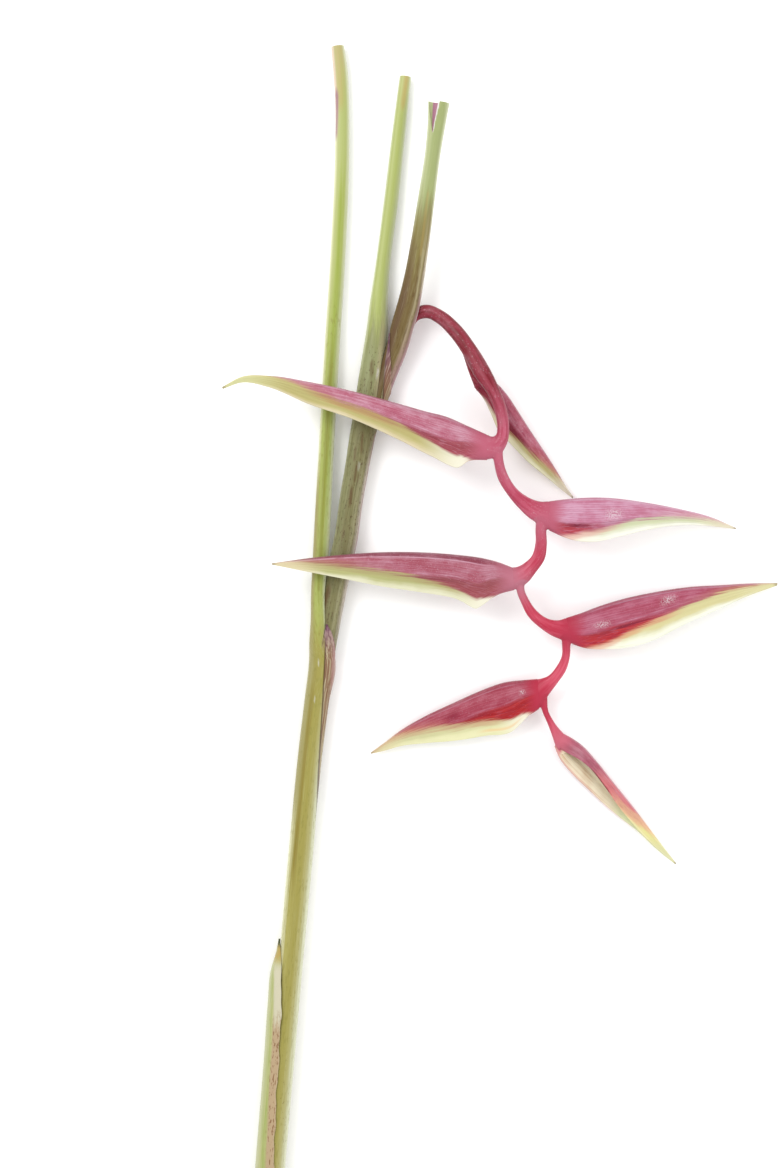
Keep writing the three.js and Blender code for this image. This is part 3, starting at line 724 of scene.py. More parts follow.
FLAP_ANGLES = -120  # from where the angles round a flap are counted
LEAST = 0.4  # least radius of a curved wall


def flap_rows(which):
    """The flap's y, first and last angles, upwards."""
    return np.array(FLAPS[which][2][::-1], float).T


def shell_rings(x, y, z, wide, high, first, last, outside, inside, count):
    """Rings of a curved wall about a middle line, between two angles.

    Its two faces lie `outside` and `inside` mm within the line's outline.
    """
    turn = np.radians(np.linspace(first, last, count, axis=1))

    def arc(inwards):
        reach = np.maximum(wide[:, None] - inwards, LEAST)
        rise = np.maximum(high[:, None] - inwards, LEAST)
        plan = np.broadcast_to(y[:, None], turn.shape)
        return np.stack([x[:, None] + reach * np.cos(turn), plan, z[:, None] + rise * np.sin(turn)], axis=2)

    return np.concatenate([arc(outside), arc(inside)[:, ::-1]], axis=1)


def flap(which):
    """One flap as a closed shell. Its inside lies in the clearance that the wrapped leaf then cuts."""
    wraps, thick, _ = FLAPS[which]
    y, first, last = flap_rows(which)
    along = np.arange(y[0], y[-1], FLAP_STEP)
    x, z, wide, high = outline_at(LEAF_LINES[wraps], along)
    first, last = np.interp(along, y, first), np.interp(along, y, last)
    return loft("flap", shell_rings(x, along, z, wide, high, first, last, -GAP - thick, 0, FLAP_ROUND))


def flap_cover(mesh, which):
    """How far each vertex belongs to the leaf's flap, from 0 to 1 at its pointed top."""
    if which not in FLAPS:
        return np.zeros(len(mesh.vertices))
    wraps, thick, rows = FLAPS[which]
    y, first, last = flap_rows(which)
    points, turn, share, wide = read_round(mesh, LEAF_LINES[wraps])
    near = (share - 1) * wide < GAP + thick + FLAP_SLACK
    angle = (np.degrees(turn) - FLAP_ANGLES) % 360 + FLAP_ANGLES
    under = angle < np.interp(points[:, 1], y, first) + FLAP_EDGE
    over = angle > np.interp(points[:, 1], y, last) - FLAP_EDGE
    return near * (under & over) * ease(points[:, 1], rows[FLAP_FADE][0], rows[0][0])


def leaf(which, tools, inner_rows, node, slot):
    """One leaf: its outline and flap, less the pieces that lie inside it."""
    piece = loft(f"{which}_leaf", leaf_rings(which))
    if which in FLAPS:
        combine(piece, flap(which), "UNION")
    for tool in tools:
        combine(piece, tool, "DIFFERENCE")
    keep_largest(piece)
    rest_on_surface(piece)
    dress_leaf(piece, which, inner_rows, PAINT[which])
    finish_piece(piece, slot, node)
    return piece


def leaf_tool(which):
    """A leaf's outline with the clearance round it, to cut what wraps it."""
    return loft("tool", stem_rings(LEAF_LINES[which], STALK_SIDES, GAP))


# The inner leaf's cut end is an open channel: [x, y, z, half width, half height] of the hollow.
CHANNEL = [
    (-60.4, 524, 35.6, 0.5, 0.6), (-60, 532, 34.6, 1.8, 2.4), (-59.2, 542, 33.8, 3.9, 3.9),
    (-58, 556, 33.3, 6.2, 5.2),
]
CHANNEL_STEP = 1.0
CHANNEL_EDGE = 1.06  # how far out the channel's wall counts, in its radius


def make_leaves():
    outer = leaf("outer", [leaf_tool("middle")], LEAF_LINES["middle"], "leaf_1", "outer_leaf_stalk")
    tools = [leaf_tool("inner"), *axis_tools(GAP)]
    middle = leaf("middle", tools, LEAF_LINES["inner"], "leaf_2", "middle_leaf_stalk")
    hollow = smooth_stem(CHANNEL, CHANNEL_STEP)
    tools = [*axis_tools(GAP), loft("tool", stem_rings(hollow, AXIS_SIDES))]
    inner = leaf("inner", tools, HIDDEN_STALK, "leaf_3", "inner_leaf_stalk")
    dress_channel(inner.data, hollow)
    return outer, middle, inner


def dress_channel(mesh, hollow):
    """Writes which vertices lie in the open channel, and how far to the right on its wall."""
    points, turn, share, _ = read_round(mesh, hollow)
    within = (share < CHANNEL_EDGE) & (points[:, 1] > hollow[0, 1])
    write(mesh, "channel", within.astype(float))
    write(mesh, "wall", np.cos(turn))


# ---------------------------------------------------------------- the old basal sheath

BASAL_COUNT = 240
BASAL_ROUND = 60
TORN = 2.2  # how far its margins are torn, in degrees
TEARS = [(1, 7.3, 0), (0.6, 3.1, 1), (0.5, 17, 2)]  # waves of the tears: strength, length, start
THINNED = 0.25  # thickness of its margins as a share of the wall's
THINNING = 0.12  # share of its width in which they thin


def basal_rings(rows):
    x, y, z, wide, high, first, last = rows.T
    tear = TORN * sum(strength * np.sin(y / length + start) for strength, length, start in TEARS)
    share = np.linspace(0, 1, BASAL_ROUND)
    thin = THINNED + (1 - THINNED) * np.clip(np.minimum(share, 1 - share) / THINNING, 0, 1)
    outside, inside = BASAL_WALL / 2 * (1 - thin), BASAL_WALL / 2 * (1 + thin)
    return shell_rings(x, y, z, wide, high, first + tear, last - tear, outside, inside, BASAL_ROUND)


def dress_basal_sheath(mesh, rows):
    """Writes what the old sheath's material reads: its inside, and the distance from its upper margin."""
    points, turn, share, wide = read_round(mesh, rows)
    write_round(mesh, points, turn, wide)
    write(mesh, "inside", np.clip((1 - share) * wide / BASAL_WALL * 2 - 0.6, 0, 1))
    past = turn % (2 * np.pi) - np.radians(np.interp(points[:, 1], rows[:, 1], rows[:, 5]))
    write(mesh, "margin", past * wide)


def make_basal_sheath():
    length = travelled(np.array(BASAL_SHEATH, float)[:, :3])[-1]
    rows = smooth_stem(BASAL_SHEATH, length / BASAL_COUNT)
    piece = loft("old_sheath", basal_rings(rows))
    combine(piece, leaf_tool("outer"), "DIFFERENCE")
    keep_largest(piece)
    rest_on_surface(piece)
    dress_basal_sheath(piece.data, rows)
    finish_piece(piece, "old_sheath", "basal_sheath", sharp=50)
    return piece


# ---------------------------------------------------------------- the flower stalk and its zigzag axis

VOXEL = 0.74  # cell of the remesh that joins the stretches
AXIS_SMOOTHING = 4  # rounds of smoothing after it
INTO_BRACT = 5.0  # how far each stretch reaches on into its bract
BRACT_FIT = 0.86  # and how slender it gets there


def reach_on(rows):
    """The stretch with one more row, slenderer and further on, inside the bract that grows from it."""
    end, before = rows[-1], rows[-2]
    way = unit(middles(end[None])[0] - middles(before[None])[0])
    on = end.copy()
    middle = (end[:2] + end[2:4]) / 2
    for c in (0, 2):
        on[c : c + 2] = middle + (end[c : c + 2] - middle) * BRACT_FIT + way[:2] * INTO_BRACT
    on[4] += way[2] * INTO_BRACT
    on[5] *= BRACT_FIT
    return np.vstack([rows, on])


def grow_together(piece):
    """Turns overlapping stretches into one skin, rounded where they meet."""
    remesh = piece.modifiers.new("remesh", "REMESH")
    remesh.mode = "VOXEL"
    remesh.voxel_size = VOXEL * MM
    relax = piece.modifiers.new("relax", "SMOOTH")
    relax.factor = 0.5
    relax.iterations = AXIS_SMOOTHING
    settle(piece)


def make_flower_stalk():
    stretches = [reach_on(rows) for rows in (open_stalk(), *map(stretch, [FIRST_FOOT, *INTERNODES]))]
    piece, *others = [loft("part", section_rings(rows, AXIS_SIDES)) for rows in stretches]
    for part in others:
        combine(piece, part, "UNION")
    grow_together(piece)
    combine(piece, loft("part", stem_rings(HIDDEN_STALK, AXIS_SIDES)), "UNION")
    keep_largest(piece)
    piece.name = piece.data.name = "zigzag_axis"
    nodes = dress_axis(piece.data, stretches)
    finish_piece(piece, "flower_stalk", "flower_stalk")
    return piece, nodes


def dress_axis(mesh, stretches):
    """Writes each vertex's place along the open axis and round it, and returns where the nodes are."""
    first, _, *rest = stretches
    lines = [first, *rest]
    middle = np.concatenate([middles(rows) for rows in lines])
    ahead = np.concatenate([unit(np.gradient(middles(rows), axis=0)) for rows in lines])
    start = np.cumsum([0] + [travelled(middles(rows))[-1] for rows in lines])
    along = np.concatenate([start[i] + travelled(middles(rows)) for i, rows in enumerate(lines)])
    tree = KDTree(len(middle))
    for i, point in enumerate(middle):
        tree.insert(point, i)
    tree.balance()
    points = positions(mesh) / MM
    near = np.array([tree.find(point)[1] for point in points])
    away = points - middle[near]
    forward = np.einsum("ij,ij->i", away, ahead[near])
    side = unit(np.cross(ahead[near], (0, 0, 1)))
    right = np.einsum("ij,ij->i", away, side)
    along = along[near] + forward
    write(mesh, "along", along / start[-1])
    write(mesh, "grain", np.column_stack([right, away[:, 2], along]))
    return start[1:] / start[-1]


# ---------------------------------------------------------------- the bracts

BRACT_COUNT = 190
FLANK_COUNT = 40
WALL = 1.3
MARGIN_WALL = 0.5
CLOSED_MARGIN = 0.8  # half thickness of the margins where they lie together
SLIT = 0.2  # least half width of the hollow
RISE = 0.3  # share of the depth in which the keel rounds up to full thickness
BASE_BLEND = 0.09  # share of the length in which the axis's oval turns into the folded section
CAVITY_START = (0.03, 0.12)
CAVITY_END = (0.84, 0.95)
CAVITY_LEAST = (0.03, 0.05)  # what is left of its depth and its width where it ends
CAVITY_ROUND = 0.12  # share of the depth in which its floor is rounded
LIP = 0.3  # how far the lip rounds out past the margin
RIDGE = (0.35, 0.7)  # height and half width of the ridge beside the keel
RIB = (0.14, 6.5)  # height of the flank's long ribs, and how many there are from keel to margin
WAVE = 0.7  # how far the margins wave
WAVES = [(0.6, 19, 1), (0.4, 43, 2.1), (0.2, 91, 1)]  # each wave: strength, radians, share of the phase
PHASE = 1.7  # how far the waves of each bract are shifted from the last one's
FLOOR_WALL = 0.4  # least height of the hollow over the surface
VEIN_LENGTH = 40  # millimetres along the bract in a unit of its veins' coordinates
SIDES_APART = 50  # between the two sides of the fold in the skin's coordinates


def line_at(line, u):
    places, values = np.array(line, float).T
    return np.interp(u, places, values)


def fold(v, u, crease, margin):
    """Half thickness of a folded bract, as a share of its fullest, from the keel to the margin."""
    rise = np.sqrt(1 - (1 - np.clip(v / RISE, 0, 1)) ** 2)
    beyond = np.clip((v - crease) / (1 - crease), 0, 1)
    power = 1.9 - 0.7 * ease(u, 0.45, 0.9)
    falling = margin + (1 - margin) * (1 - beyond) ** power
    soften = 1 - 0.06 * ease(v, RISE, crease) * (1 - beyond)
    return np.where(v < RISE, rise, falling * soften)


def flank_shares():
    """Places from the keel to the margin, closest together at the keel, where it is rounded."""
    even = np.linspace(0, 1, FLANK_COUNT)
    return 0.55 * even + 0.45 * even**2.2


def ribs(v, u, depth, ridge, phase):
    """Long low ribs on the flank, and the ridge beside the keel."""
    fade = ease(u, 0.02, 0.15) * (1 - ease(u, 0.85, 1))
    low = RIB[0] * np.sin(2 * np.pi * RIB[1] * v + phase + 1.5 * np.sin(3 * u + phase)) * ease(v, 0.12, 0.3)
    return fade * (low + RIDGE[0] * np.exp(-(((v - ridge) * depth / RIDGE[1]) ** 2)))


def bract_wave(u, phase):
    """How the margins wave along the bract, and not at its ends."""
    wave = sum(strength * np.sin(often * u + share * phase) for strength, often, share in WAVES)
    return ease(u, 0.08, 0.2) * (1 - ease(u, 0.8, 0.98)) * wave


def all_round(near, far):
    """A row's values in their order round the wall, from each side's (outside, lip, inside)."""
    near_out, near_lip, near_in = near
    far_out, far_lip, far_in = far
    return np.concatenate(
        [near_lip, near_out[:, :0:-1], far_out, far_lip, far_in[:, :0:-1], near_in], axis=1
    )


def bract_grid(bract, phase):
    """Rings of a bract's shell, each point's share of the depth, and the rows' depth and crease."""
    rows = [row if len(row) == 8 else (*row, *row[2:4]) for row in bract.rows]
    rows = smooth_sections(rows, BRACT_COUNT)
    u = np.linspace(0, 1, BRACT_COUNT)[:, None]
    v = flank_shares()[None]
    keel, near, far = rows[:, None, 0:2], rows[:, None, 2:4], rows[:, None, 6:8]
    z, half = rows[:, 4:5], rows[:, 5:6]
    crease = line_at(bract.crease, u)
    margin = np.minimum(CLOSED_MARGIN + bract.open * np.sin(np.pi * u**0.8), half)
    hollow = ease(u, *CAVITY_START) * (1 - ease(u, *CAVITY_END))
    wave = WAVE * bract_wave(u, phase)
    place, reach, height = bract.corner
    peak = height * np.clip(1 - np.abs(u - place) / reach, 0, 1)[..., None] ** 1.2
    near, far = (end + unit(end - keel) * peak for end in (near, far))

    def thickness(v):
        """Half thickness of the outside: the axis's oval at the foot, the fold from there on."""
        oval = np.sqrt(np.clip(1 - (2 * v - 1) ** 2, 0, 1))
        blend = ease(u, 0, BASE_BLEND)
        return half * ((1 - blend) * oval + blend * fold(v, u, crease, margin / half))

    def side(end, up):
        """The (outside, lip, inside) of one side as points, and as shares of the depth."""
        depth = np.linalg.norm(end - keel, axis=2)
        thick = thickness(v) + ribs(v, u, depth, bract.ridge, phase)
        least_deep, least_wide = CAVITY_LEAST
        start = 1 - (1 - WALL / depth.clip(WALL * 1.5)) * np.maximum(hollow, least_deep)
        inner_v = start + (1 - start) * v
        wall = WALL + (MARGIN_WALL - WALL) * inner_v**3
        rounded = np.sqrt(1 - (1 - np.clip((inner_v - start) / CAVITY_ROUND, 0, 1)) ** 2)
        least = np.minimum(SLIT, 0.4 * half)
        gap = np.maximum(thickness(inner_v) - wall, least) * np.maximum(hollow, least_wide) * rounded
        lip_gap = (thick[:, -1:] + gap[:, -1:]) / 2

        def points_at(share, height):
            plan = keel + (end - keel) * share[..., None]
            lift = z + up * height + wave * share**4
            return np.concatenate([plan, lift[..., None]], axis=2)

        outer_v = np.broadcast_to(v, thick.shape)
        points = points_at(outer_v, thick), points_at(1 + LIP / depth, lip_gap), points_at(inner_v, gap)
        return points, (outer_v, np.ones_like(u), inner_v)

    near_points, near_shares = side(near, 1)
    far_points, far_shares = side(far, -1)
    depth = np.linalg.norm(near - keel, axis=2)
    return all_round(near_points, far_points), all_round(near_shares, far_shares), u, depth, crease


def wall_marks():
    """For a ring's points in order: 1 on the inside of the wall, and which side of the fold each is on."""
    count = FLANK_COUNT
    inside = [0.5] + [0] * (2 * count - 1) + [0.5] + [1] * (2 * count - 1)
    facing = [1] * count + [-1] * (count + 1) + [-1] * (count - 1) + [1] * count
    return np.array(inside), np.array(facing)


def make_bract(number, bract):
    name = f"bract_{number}"
    rings, across, u, depth, crease = bract_grid(bract, PHASE * number)
    inside, facing = wall_marks()
    rings[..., 2] = np.maximum(rings[..., 2], FLOOR_WALL * inside)
    piece = loft(f"{name}_shell", rings)
    mesh = piece.data
    along = np.broadcast_to(u, across.shape)
    side = np.broadcast_to(facing, across.shape)
    length = travelled(rings[:, FLANK_COUNT])[-1]
    write(mesh, "across", across.ravel())
    write(mesh, "along", along.ravel())
    write(mesh, "inside", np.broadcast_to(inside, across.shape).ravel())
    for line, share in (("edge", line_at(bract.edge, u)), ("crease", crease), ("ridge", bract.ridge)):
        write(mesh, line, ((across - share) * depth).ravel())
    veins = [across, along * length / VEIN_LENGTH, side]
    skin = [across * depth, along * length, side * SIDES_APART]
    write(mesh, "veins", np.stack(veins, axis=2).reshape(-1, 3))
    write(mesh, "skin", np.stack(skin, axis=2).reshape(-1, 3))
    finish_piece(piece, "bract", name, sharp=35)
    return piece


# ---------------------------------------------------------------- materials

# The studio shows a surface's colour this many times as light, and less where the surface faces sideways
# or lies inside a bract. Its gloss adds this much white.
LIGHT = 1.6
SHADED = 1.36
INSIDE = 1.3
GLOSS = 0.02
SPECULAR = 0.2
DARKEST, LIGHTEST = 0.004, 0.92  # limits of a surface colour


def linear(shade):
    """A screen's colour value, 0 to 255, as an amount of light."""
    c = shade / 255
    return ((c + 0.055) / 1.055) ** 2.4 if c > 0.04 else c / 12.92


def seen(red, green, blue, light=LIGHT):
    """The surface colour that looks like this, 0 to 255 on a screen, in the studio's light."""
    amounts = ((linear(c) - GLOSS) for c in (red, green, blue))
    return (*(min(max(amount, DARKEST) / light, LIGHTEST) for amount in amounts), 1)


class Shader:
    """A material's node tree, written as short calls."""

    def __init__(self, name, roughness, **settings):
        self.material = bpy.data.materials.new(name)
        self.material.use_nodes = True
        self.tree = self.material.node_tree
        self.surface = self.tree.nodes["Principled BSDF"]
        self.surface.inputs["Roughness"].default_value = roughness
        self.surface.inputs["Specular IOR Level"].default_value = SPECULAR
        for key, value in settings.items():
            self.surface.inputs[key.replace("_", " ")].default_value = value

    def node(self, kind, inputs, **settings):
        made = self.tree.nodes.new(kind)
        for key, value in settings.items():
            setattr(made, key, value)
        for key, value in inputs.items():
            self.feed(made.inputs[key], value)
        return made

    def feed(self, socket, value):
        if isinstance(value, bpy.types.NodeSocket):
            self.tree.links.new(value, socket)
        else:
            socket.default_value = value

    def number(self, name):
        return self.node("ShaderNodeAttribute", {}, attribute_name=name).outputs["Fac"]

    def vector(self, name):
        return self.node("ShaderNodeAttribute", {}, attribute_name=name).outputs["Vector"]

    def math(self, operation, *values):
        return self.node("ShaderNodeMath", dict(enumerate(values)), operation=operation).outputs[0]

    def times(self, *values):
        out = values[0]
        for value in values[1:]:
            out = self.math("MULTIPLY", out, value)
        return out

    def plus(self, a, b):
        return self.math("ADD", a, b)

    def less(self, value, by):
        """1 less `by` times the value."""
        return self.plus(self.times(value, -by), 1.0)

    def scaled(self, vector, factors):
        return self.node("ShaderNodeVectorMath", {0: vector, 1: factors}, operation="MULTIPLY").outputs[0]

    def noise(self, vector, scale, detail=2.0, roughness=0.5):
        """A noise over a vector, with a scale for each of its directions."""
        place = self.scaled(vector, scale)
        inputs = {"Vector": place, "Scale": 1.0, "Detail": detail, "Roughness": roughness}
        return self.node("ShaderNodeTexNoise", inputs).outputs["Fac"]

    def band(self, value, low, high):
        """0 below low, 1 above high, smooth between; the other way round where high is the smaller."""
        inputs = {"Value": value, "From Min": low, "From Max": high}
        made = self.node("ShaderNodeMapRange", inputs, interpolation_type="SMOOTHSTEP")
        return made.outputs["Result"]

    def mix(self, factor, a, b):
        """One colour turning into another. Three numbers are a colour as it is seen, 0 to 255."""
        a, b = (seen(*c) if isinstance(c, tuple) and len(c) == 3 else c for c in (a, b))
        return self.node("ShaderNodeMix", {0: factor, 6: a, 7: b}, data_type="RGBA").outputs[2]

    def over(self, colour, shade, *cover):
        """The colour with a shade over it, as strongly as the covers' product."""
        return self.mix(self.times(*cover), colour, shade)

    def sine(self, value, times):
        return self.math("SINE", self.times(value, times))

    def hump(self, value, at, reach):
        """1 at a place, 0 `reach` away from it, smooth between."""
        return self.band(self.math("ABSOLUTE", self.plus(value, -at)), reach, 0.0)

    def span(self, value, low, high, soft):
        """1 between two places, fading over `soft` either side of each."""
        rising = self.band(value, low - soft, low + soft)
        return self.times(rising, self.band(value, high + soft, high - soft))

    def spots(self, vector, scale, rarity, detail=2.0):
        """Spots where a noise is high: the rarer, the nearer `rarity` is to 1."""
        return self.band(self.noise(vector, scale, detail, 0.6), rarity, rarity + 0.08)

    def shift(self, value, noise, by):
        """The value, moved to and fro by a noise."""
        return self.plus(value, self.times(self.plus(noise, -0.5), by))

    def finish(self, colour, height=None, distance=0.1):
        self.feed(self.surface.inputs["Base Color"], colour)
        if height is not None:
            bump = self.node("ShaderNodeBump", {"Strength": 1.0, "Distance": distance * MM, "Height": height})
            self.feed(self.surface.inputs["Normal"], bump.outputs["Normal"])
        return self.material


BRACT_TONES = dict(
    deep=(166, 72, 94), keel=(190, 104, 128), light=(214, 146, 166), low=(166, 76, 88),
    # line: the colour of the painted highlights along the fold and the ridge
    base=(206, 116, 136), line=(226, 178, 196), green=(214, 210, 152), lip=(242, 240, 214),
    cream=(242, 238, 216), ochre=(206, 164, 116), blush=(214, 150, 130), flame=(186, 72, 82),
    tip=(230, 224, 174), bloom=(232, 200, 212), vein=(122, 48, 70), inside=(240, 232, 208),
    # shade: the colour of the painted shadow inside a bract
    shade=(206, 172, 130),
)
TONE_LIGHT = {"green": SHADED, "lip": SHADED, "cream": SHADED, "tip": SHADED}
TONE_LIGHT |= {"inside": INSIDE, "shade": INSIDE}


def bract_fields(s, bract):
    """What a bract's mesh says of each place, noises along its veins, and the parts of its red."""
    numbers = {name: s.number(name) for name in ("along", "across", "edge", "crease", "ridge", "inside")}
    f = SimpleNamespace(**numbers, veins=s.vector("veins"), skin=s.vector("skin"))
    f.broad = s.noise(f.veins, (8, 0.3, 3), 3, 0.6)
    f.middle = s.noise(f.veins, (19, 0.7, 3), 3, 0.65)
    f.fine = s.noise(f.veins, (60, 1.2, 3), 2, 0.5)
    f.thread = s.noise(f.skin, (0.95, 0.09, 1), 3, 0.6)
    f.patches = s.noise(f.skin, (0.06, 0.035, 1), 3, 0.6)
    unrest = s.plus(s.times(s.plus(f.middle, -0.5), 11.0), s.times(s.plus(f.fine, -0.5), 4.0))
    past_base = s.plus(s.times(s.band(f.along, 0.12, 0.32), 0.8), 0.2)
    f.ragged = s.plus(f.edge, s.times(unrest, past_base))
    f.on_red = s.band(f.ragged, 2.5, -1.5)
    end = bract.hollow
    f.reached = s.shift(f.along, f.middle, 0.14)
    below_crease = s.band(s.shift(f.crease, f.middle, 7.0), -0.8, 2.2)
    f.hollow = s.times(below_crease, s.band(f.reached, end + 0.12, end - 0.08))
    low, high, reach = bract.blush
    near_edge = s.band(s.shift(f.edge, f.middle, 10.0), -reach, -0.5)
    f.warm = s.times(near_edge, s.band(s.shift(f.along, f.broad, 0.15), low, high))
    return f


def red_flank(s, f, tone):
    """Dusty streaks above the crease, crimson in the hollow under it, and a blush near the border."""
    streak = s.shift(s.shift(f.middle, f.broad, 0.7), f.fine, 0.25)
    cloud = s.shift(s.shift(f.patches, streak, 0.55), f.fine, 0.3)
    red = s.mix(s.band(cloud, 0.36, 0.7), tone.keel, tone.light)
    red = s.over(red, tone.deep, s.band(streak, 0.44, 0.3), 0.45)
    crimson = s.mix(s.band(s.shift(f.middle, f.fine, 0.5), 0.34, 0.66), tone.low, tone.flame)
    return s.over(s.over(red, crimson, f.hollow), tone.blush, f.warm, 0.85)


def red_marks(s, f, bract, tone, red):
    """The bruise, the hollow's dark lines, a painted highlight along the fold above it, the dark back, and a
    painted highlight along the ridge.
    """
    if bract.bruise:
        u, v, long_reach, short_reach = bract.bruise
        spot = s.hump(s.shift(f.along, f.middle, 0.1), u, long_reach)
        red = s.over(red, tone.vein, spot, s.hump(f.across, v, short_reach), 0.6)
    end = bract.hollow
    dark = s.hump(s.shift(f.crease, f.middle, 5.0), 2.4, 2.6)
    dark = s.times(dark, s.hump(f.reached, end * 0.66, end * 0.5), bract.dark)
    lines = s.times(f.hollow, s.band(f.middle, 0.58, 0.66), 0.35)
    red = s.over(red, tone.vein, s.math("MAXIMUM", dark, lines))
    # a painted highlight just above the crease
    painted_fold_highlight = s.times(s.hump(s.shift(f.crease, f.broad, 1.5), -1.2, 0.9), s.span(f.along, 0.12, 0.5, 0.08))
    red = s.over(red, tone.line, painted_fold_highlight, s.band(f.patches, 0.35, 0.6), 0.6)
    behind = s.times(s.band(f.ridge, 0.2, -0.8), s.band(f.along, 0.05, 0.16))
    red = s.over(red, tone.vein, behind, bract.back)
    # a painted highlight along the ridge beside the keel
    painted_ridge_highlight = s.times(s.hump(f.ridge, 0.3, 0.9), s.band(f.along, 0.04, 0.2))
    return s.over(red, tone.line, painted_ridge_highlight, s.band(f.patches, 0.25, 0.5), 0.8)


def pale_margin(s, f, bract, tone):
    """Cream at the lip, green further in, and an ochre fold where the bract has one."""
    lip = bract.lip
    mottle = s.shift(s.shift(f.across, f.middle, 0.16), f.patches, 0.2)
    pale = s.mix(s.band(mottle, lip - 0.12, lip + 0.12), tone.green, tone.lip)
    pale = s.over(pale, tone.cream, s.band(f.along, 0.28, 0.1))
    pale = s.over(pale, tone.tip, s.band(s.shift(f.along, f.middle, 0.2), 0.74, 0.93))
    pale = s.over(pale, seen(196, 200, 128, SHADED), s.band(f.middle, 0.5, 0.72), 0.3)
    if bract.seam:
        near_lip = s.hump(s.shift(f.across, f.broad, 0.14), 0.9, 0.04)
        seam = s.times(near_lip, s.span(f.along, *bract.seam, 0.05))
        pale = s.over(pale, seen(240, 190, 130, SHADED), seam, 0.5)
    return pale


def bract_bloom(s, f, bract, tone, colour):
    """Threads in the red, its waxy bloom with the hatching, scratches, worn spots and painted highlights."""
    colour = s.over(colour, tone.light, s.band(f.thread, 0.52, 0.66), f.on_red, 0.4)
    colour = s.over(colour, tone.deep, s.band(f.thread, 0.48, 0.36), f.on_red, 0.35)
    hatch = s.times(s.spots(f.skin, (0.45, 1.7, 1), 0.52), s.spots(f.skin, (1.3, 0.35, 1), 0.5))
    dust = s.plus(s.times(s.band(s.shift(f.patches, f.middle, 0.3), 0.48, 0.72), 0.2), s.times(hatch, 0.45))
    where = (f.on_red, s.less(f.hollow, 0.8), s.less(f.warm, 0.8), bract.dust)
    colour = s.over(colour, tone.bloom, dust, *where)
    scratches_and_highlight = s.times(s.spots(f.skin, (0.9, 0.5, 1), 0.68), s.spots(f.skin, (2.6, 1.6, 1), 0.5))
    # pale spots: worn ones, and on bract_6 a painted highlight
    for u, v, long_reach, short_reach in bract.scuffs:
        scuff_and_highlight = s.times(s.hump(f.along, u, long_reach), s.hump(f.across, v, short_reach))
        scratches_and_highlight = s.math("MAXIMUM", scratches_and_highlight, s.times(scuff_and_highlight, s.spots(f.skin, (0.7, 0.9, 1), 0.47, 4)))
    return s.over(colour, (246, 234, 238), scratches_and_highlight, 0.7)


def bract_lining(s, f, tone):
    """The inside: cream with a painted shadow towards the base, greener towards the tip."""
    # a painted shadow over the inside towards the base
    painted_shadow = s.band(s.shift(f.middle, f.patches, 0.6), 0.4, 0.75)
    lining = s.over(tone.inside, tone.shade, painted_shadow, s.band(f.along, 0.6, 0.3))
    far = s.band(s.shift(f.along, f.middle, 0.1), 0.42, 0.56)
    lining = s.over(lining, seen(232, 234, 190, INSIDE), far)
    return s.over(lining, tone.base, s.band(f.along, 0.06, 0.03))


def slit_shadow_and_rim(s, f, slit, colour):
    """Painted shadow in dark crimson along the slit's near lip, and its pink far lip."""
    side = s.node("ShaderNodeSeparateXYZ", {0: f.veins}).outputs[2]
    rim = s.band(f.across, 0.9, 0.97)
    near = s.band(side, 0.0, 0.5)
    # painted shadow under the near lip of the slit
    colour = s.over(colour, (120, 36, 52), rim, near, s.span(f.along, *slit, 0.03), 0.85)
    far = s.band(side, 0.0, -0.5)
    return s.over(colour, (238, 184, 172), rim, far, s.band(f.along, 0.45, 0.1), 0.8)


def bract_material(name, bract):
    s = Shader(name, 0.45, Sheen_Weight=0.06, Sheen_Roughness=0.4)
    tones = BRACT_TONES | bract.tones
    tone = {key: seen(*value, TONE_LIGHT.get(key, LIGHT)) for key, value in tones.items()}
    tone = SimpleNamespace(**tone)
    f = bract_fields(s, bract)
    red = red_marks(s, f, bract, tone, red_flank(s, f, tone))
    colour = s.mix(s.band(f.ragged, -1.6, 1.8), red, pale_margin(s, f, bract, tone))
    low, high, strength, into = bract.ochre
    border = s.times(s.span(f.ragged, -into, 4.0, 1.6), s.span(f.along, low, high, 0.08))
    colour = s.over(colour, tone.ochre, border, strength)
    vein = s.band(s.sine(s.shift(f.across, f.broad, 0.03), 120.0), 0.3, 1.0)
    colour = s.over(colour, tone.vein, vein, f.on_red, 0.25)
    colour = bract_bloom(s, f, bract, tone, colour)
    colour = s.over(colour, tone.base, s.band(s.shift(f.along, f.fine, 0.04), 0.1, 0.0))
    colour = s.over(colour, (160, 144, 112), s.band(f.along, 0.975, 1.0), 0.7)
    colour = s.over(colour, bract_lining(s, f, tone), s.band(f.inside, 0.5, 0.9))
    if bract.slit:
        colour = slit_shadow_and_rim(s, f, bract.slit, colour)
    return s.finish(colour, s.plus(s.times(vein, 0.4), s.times(f.fine, 0.6)), 0.06)


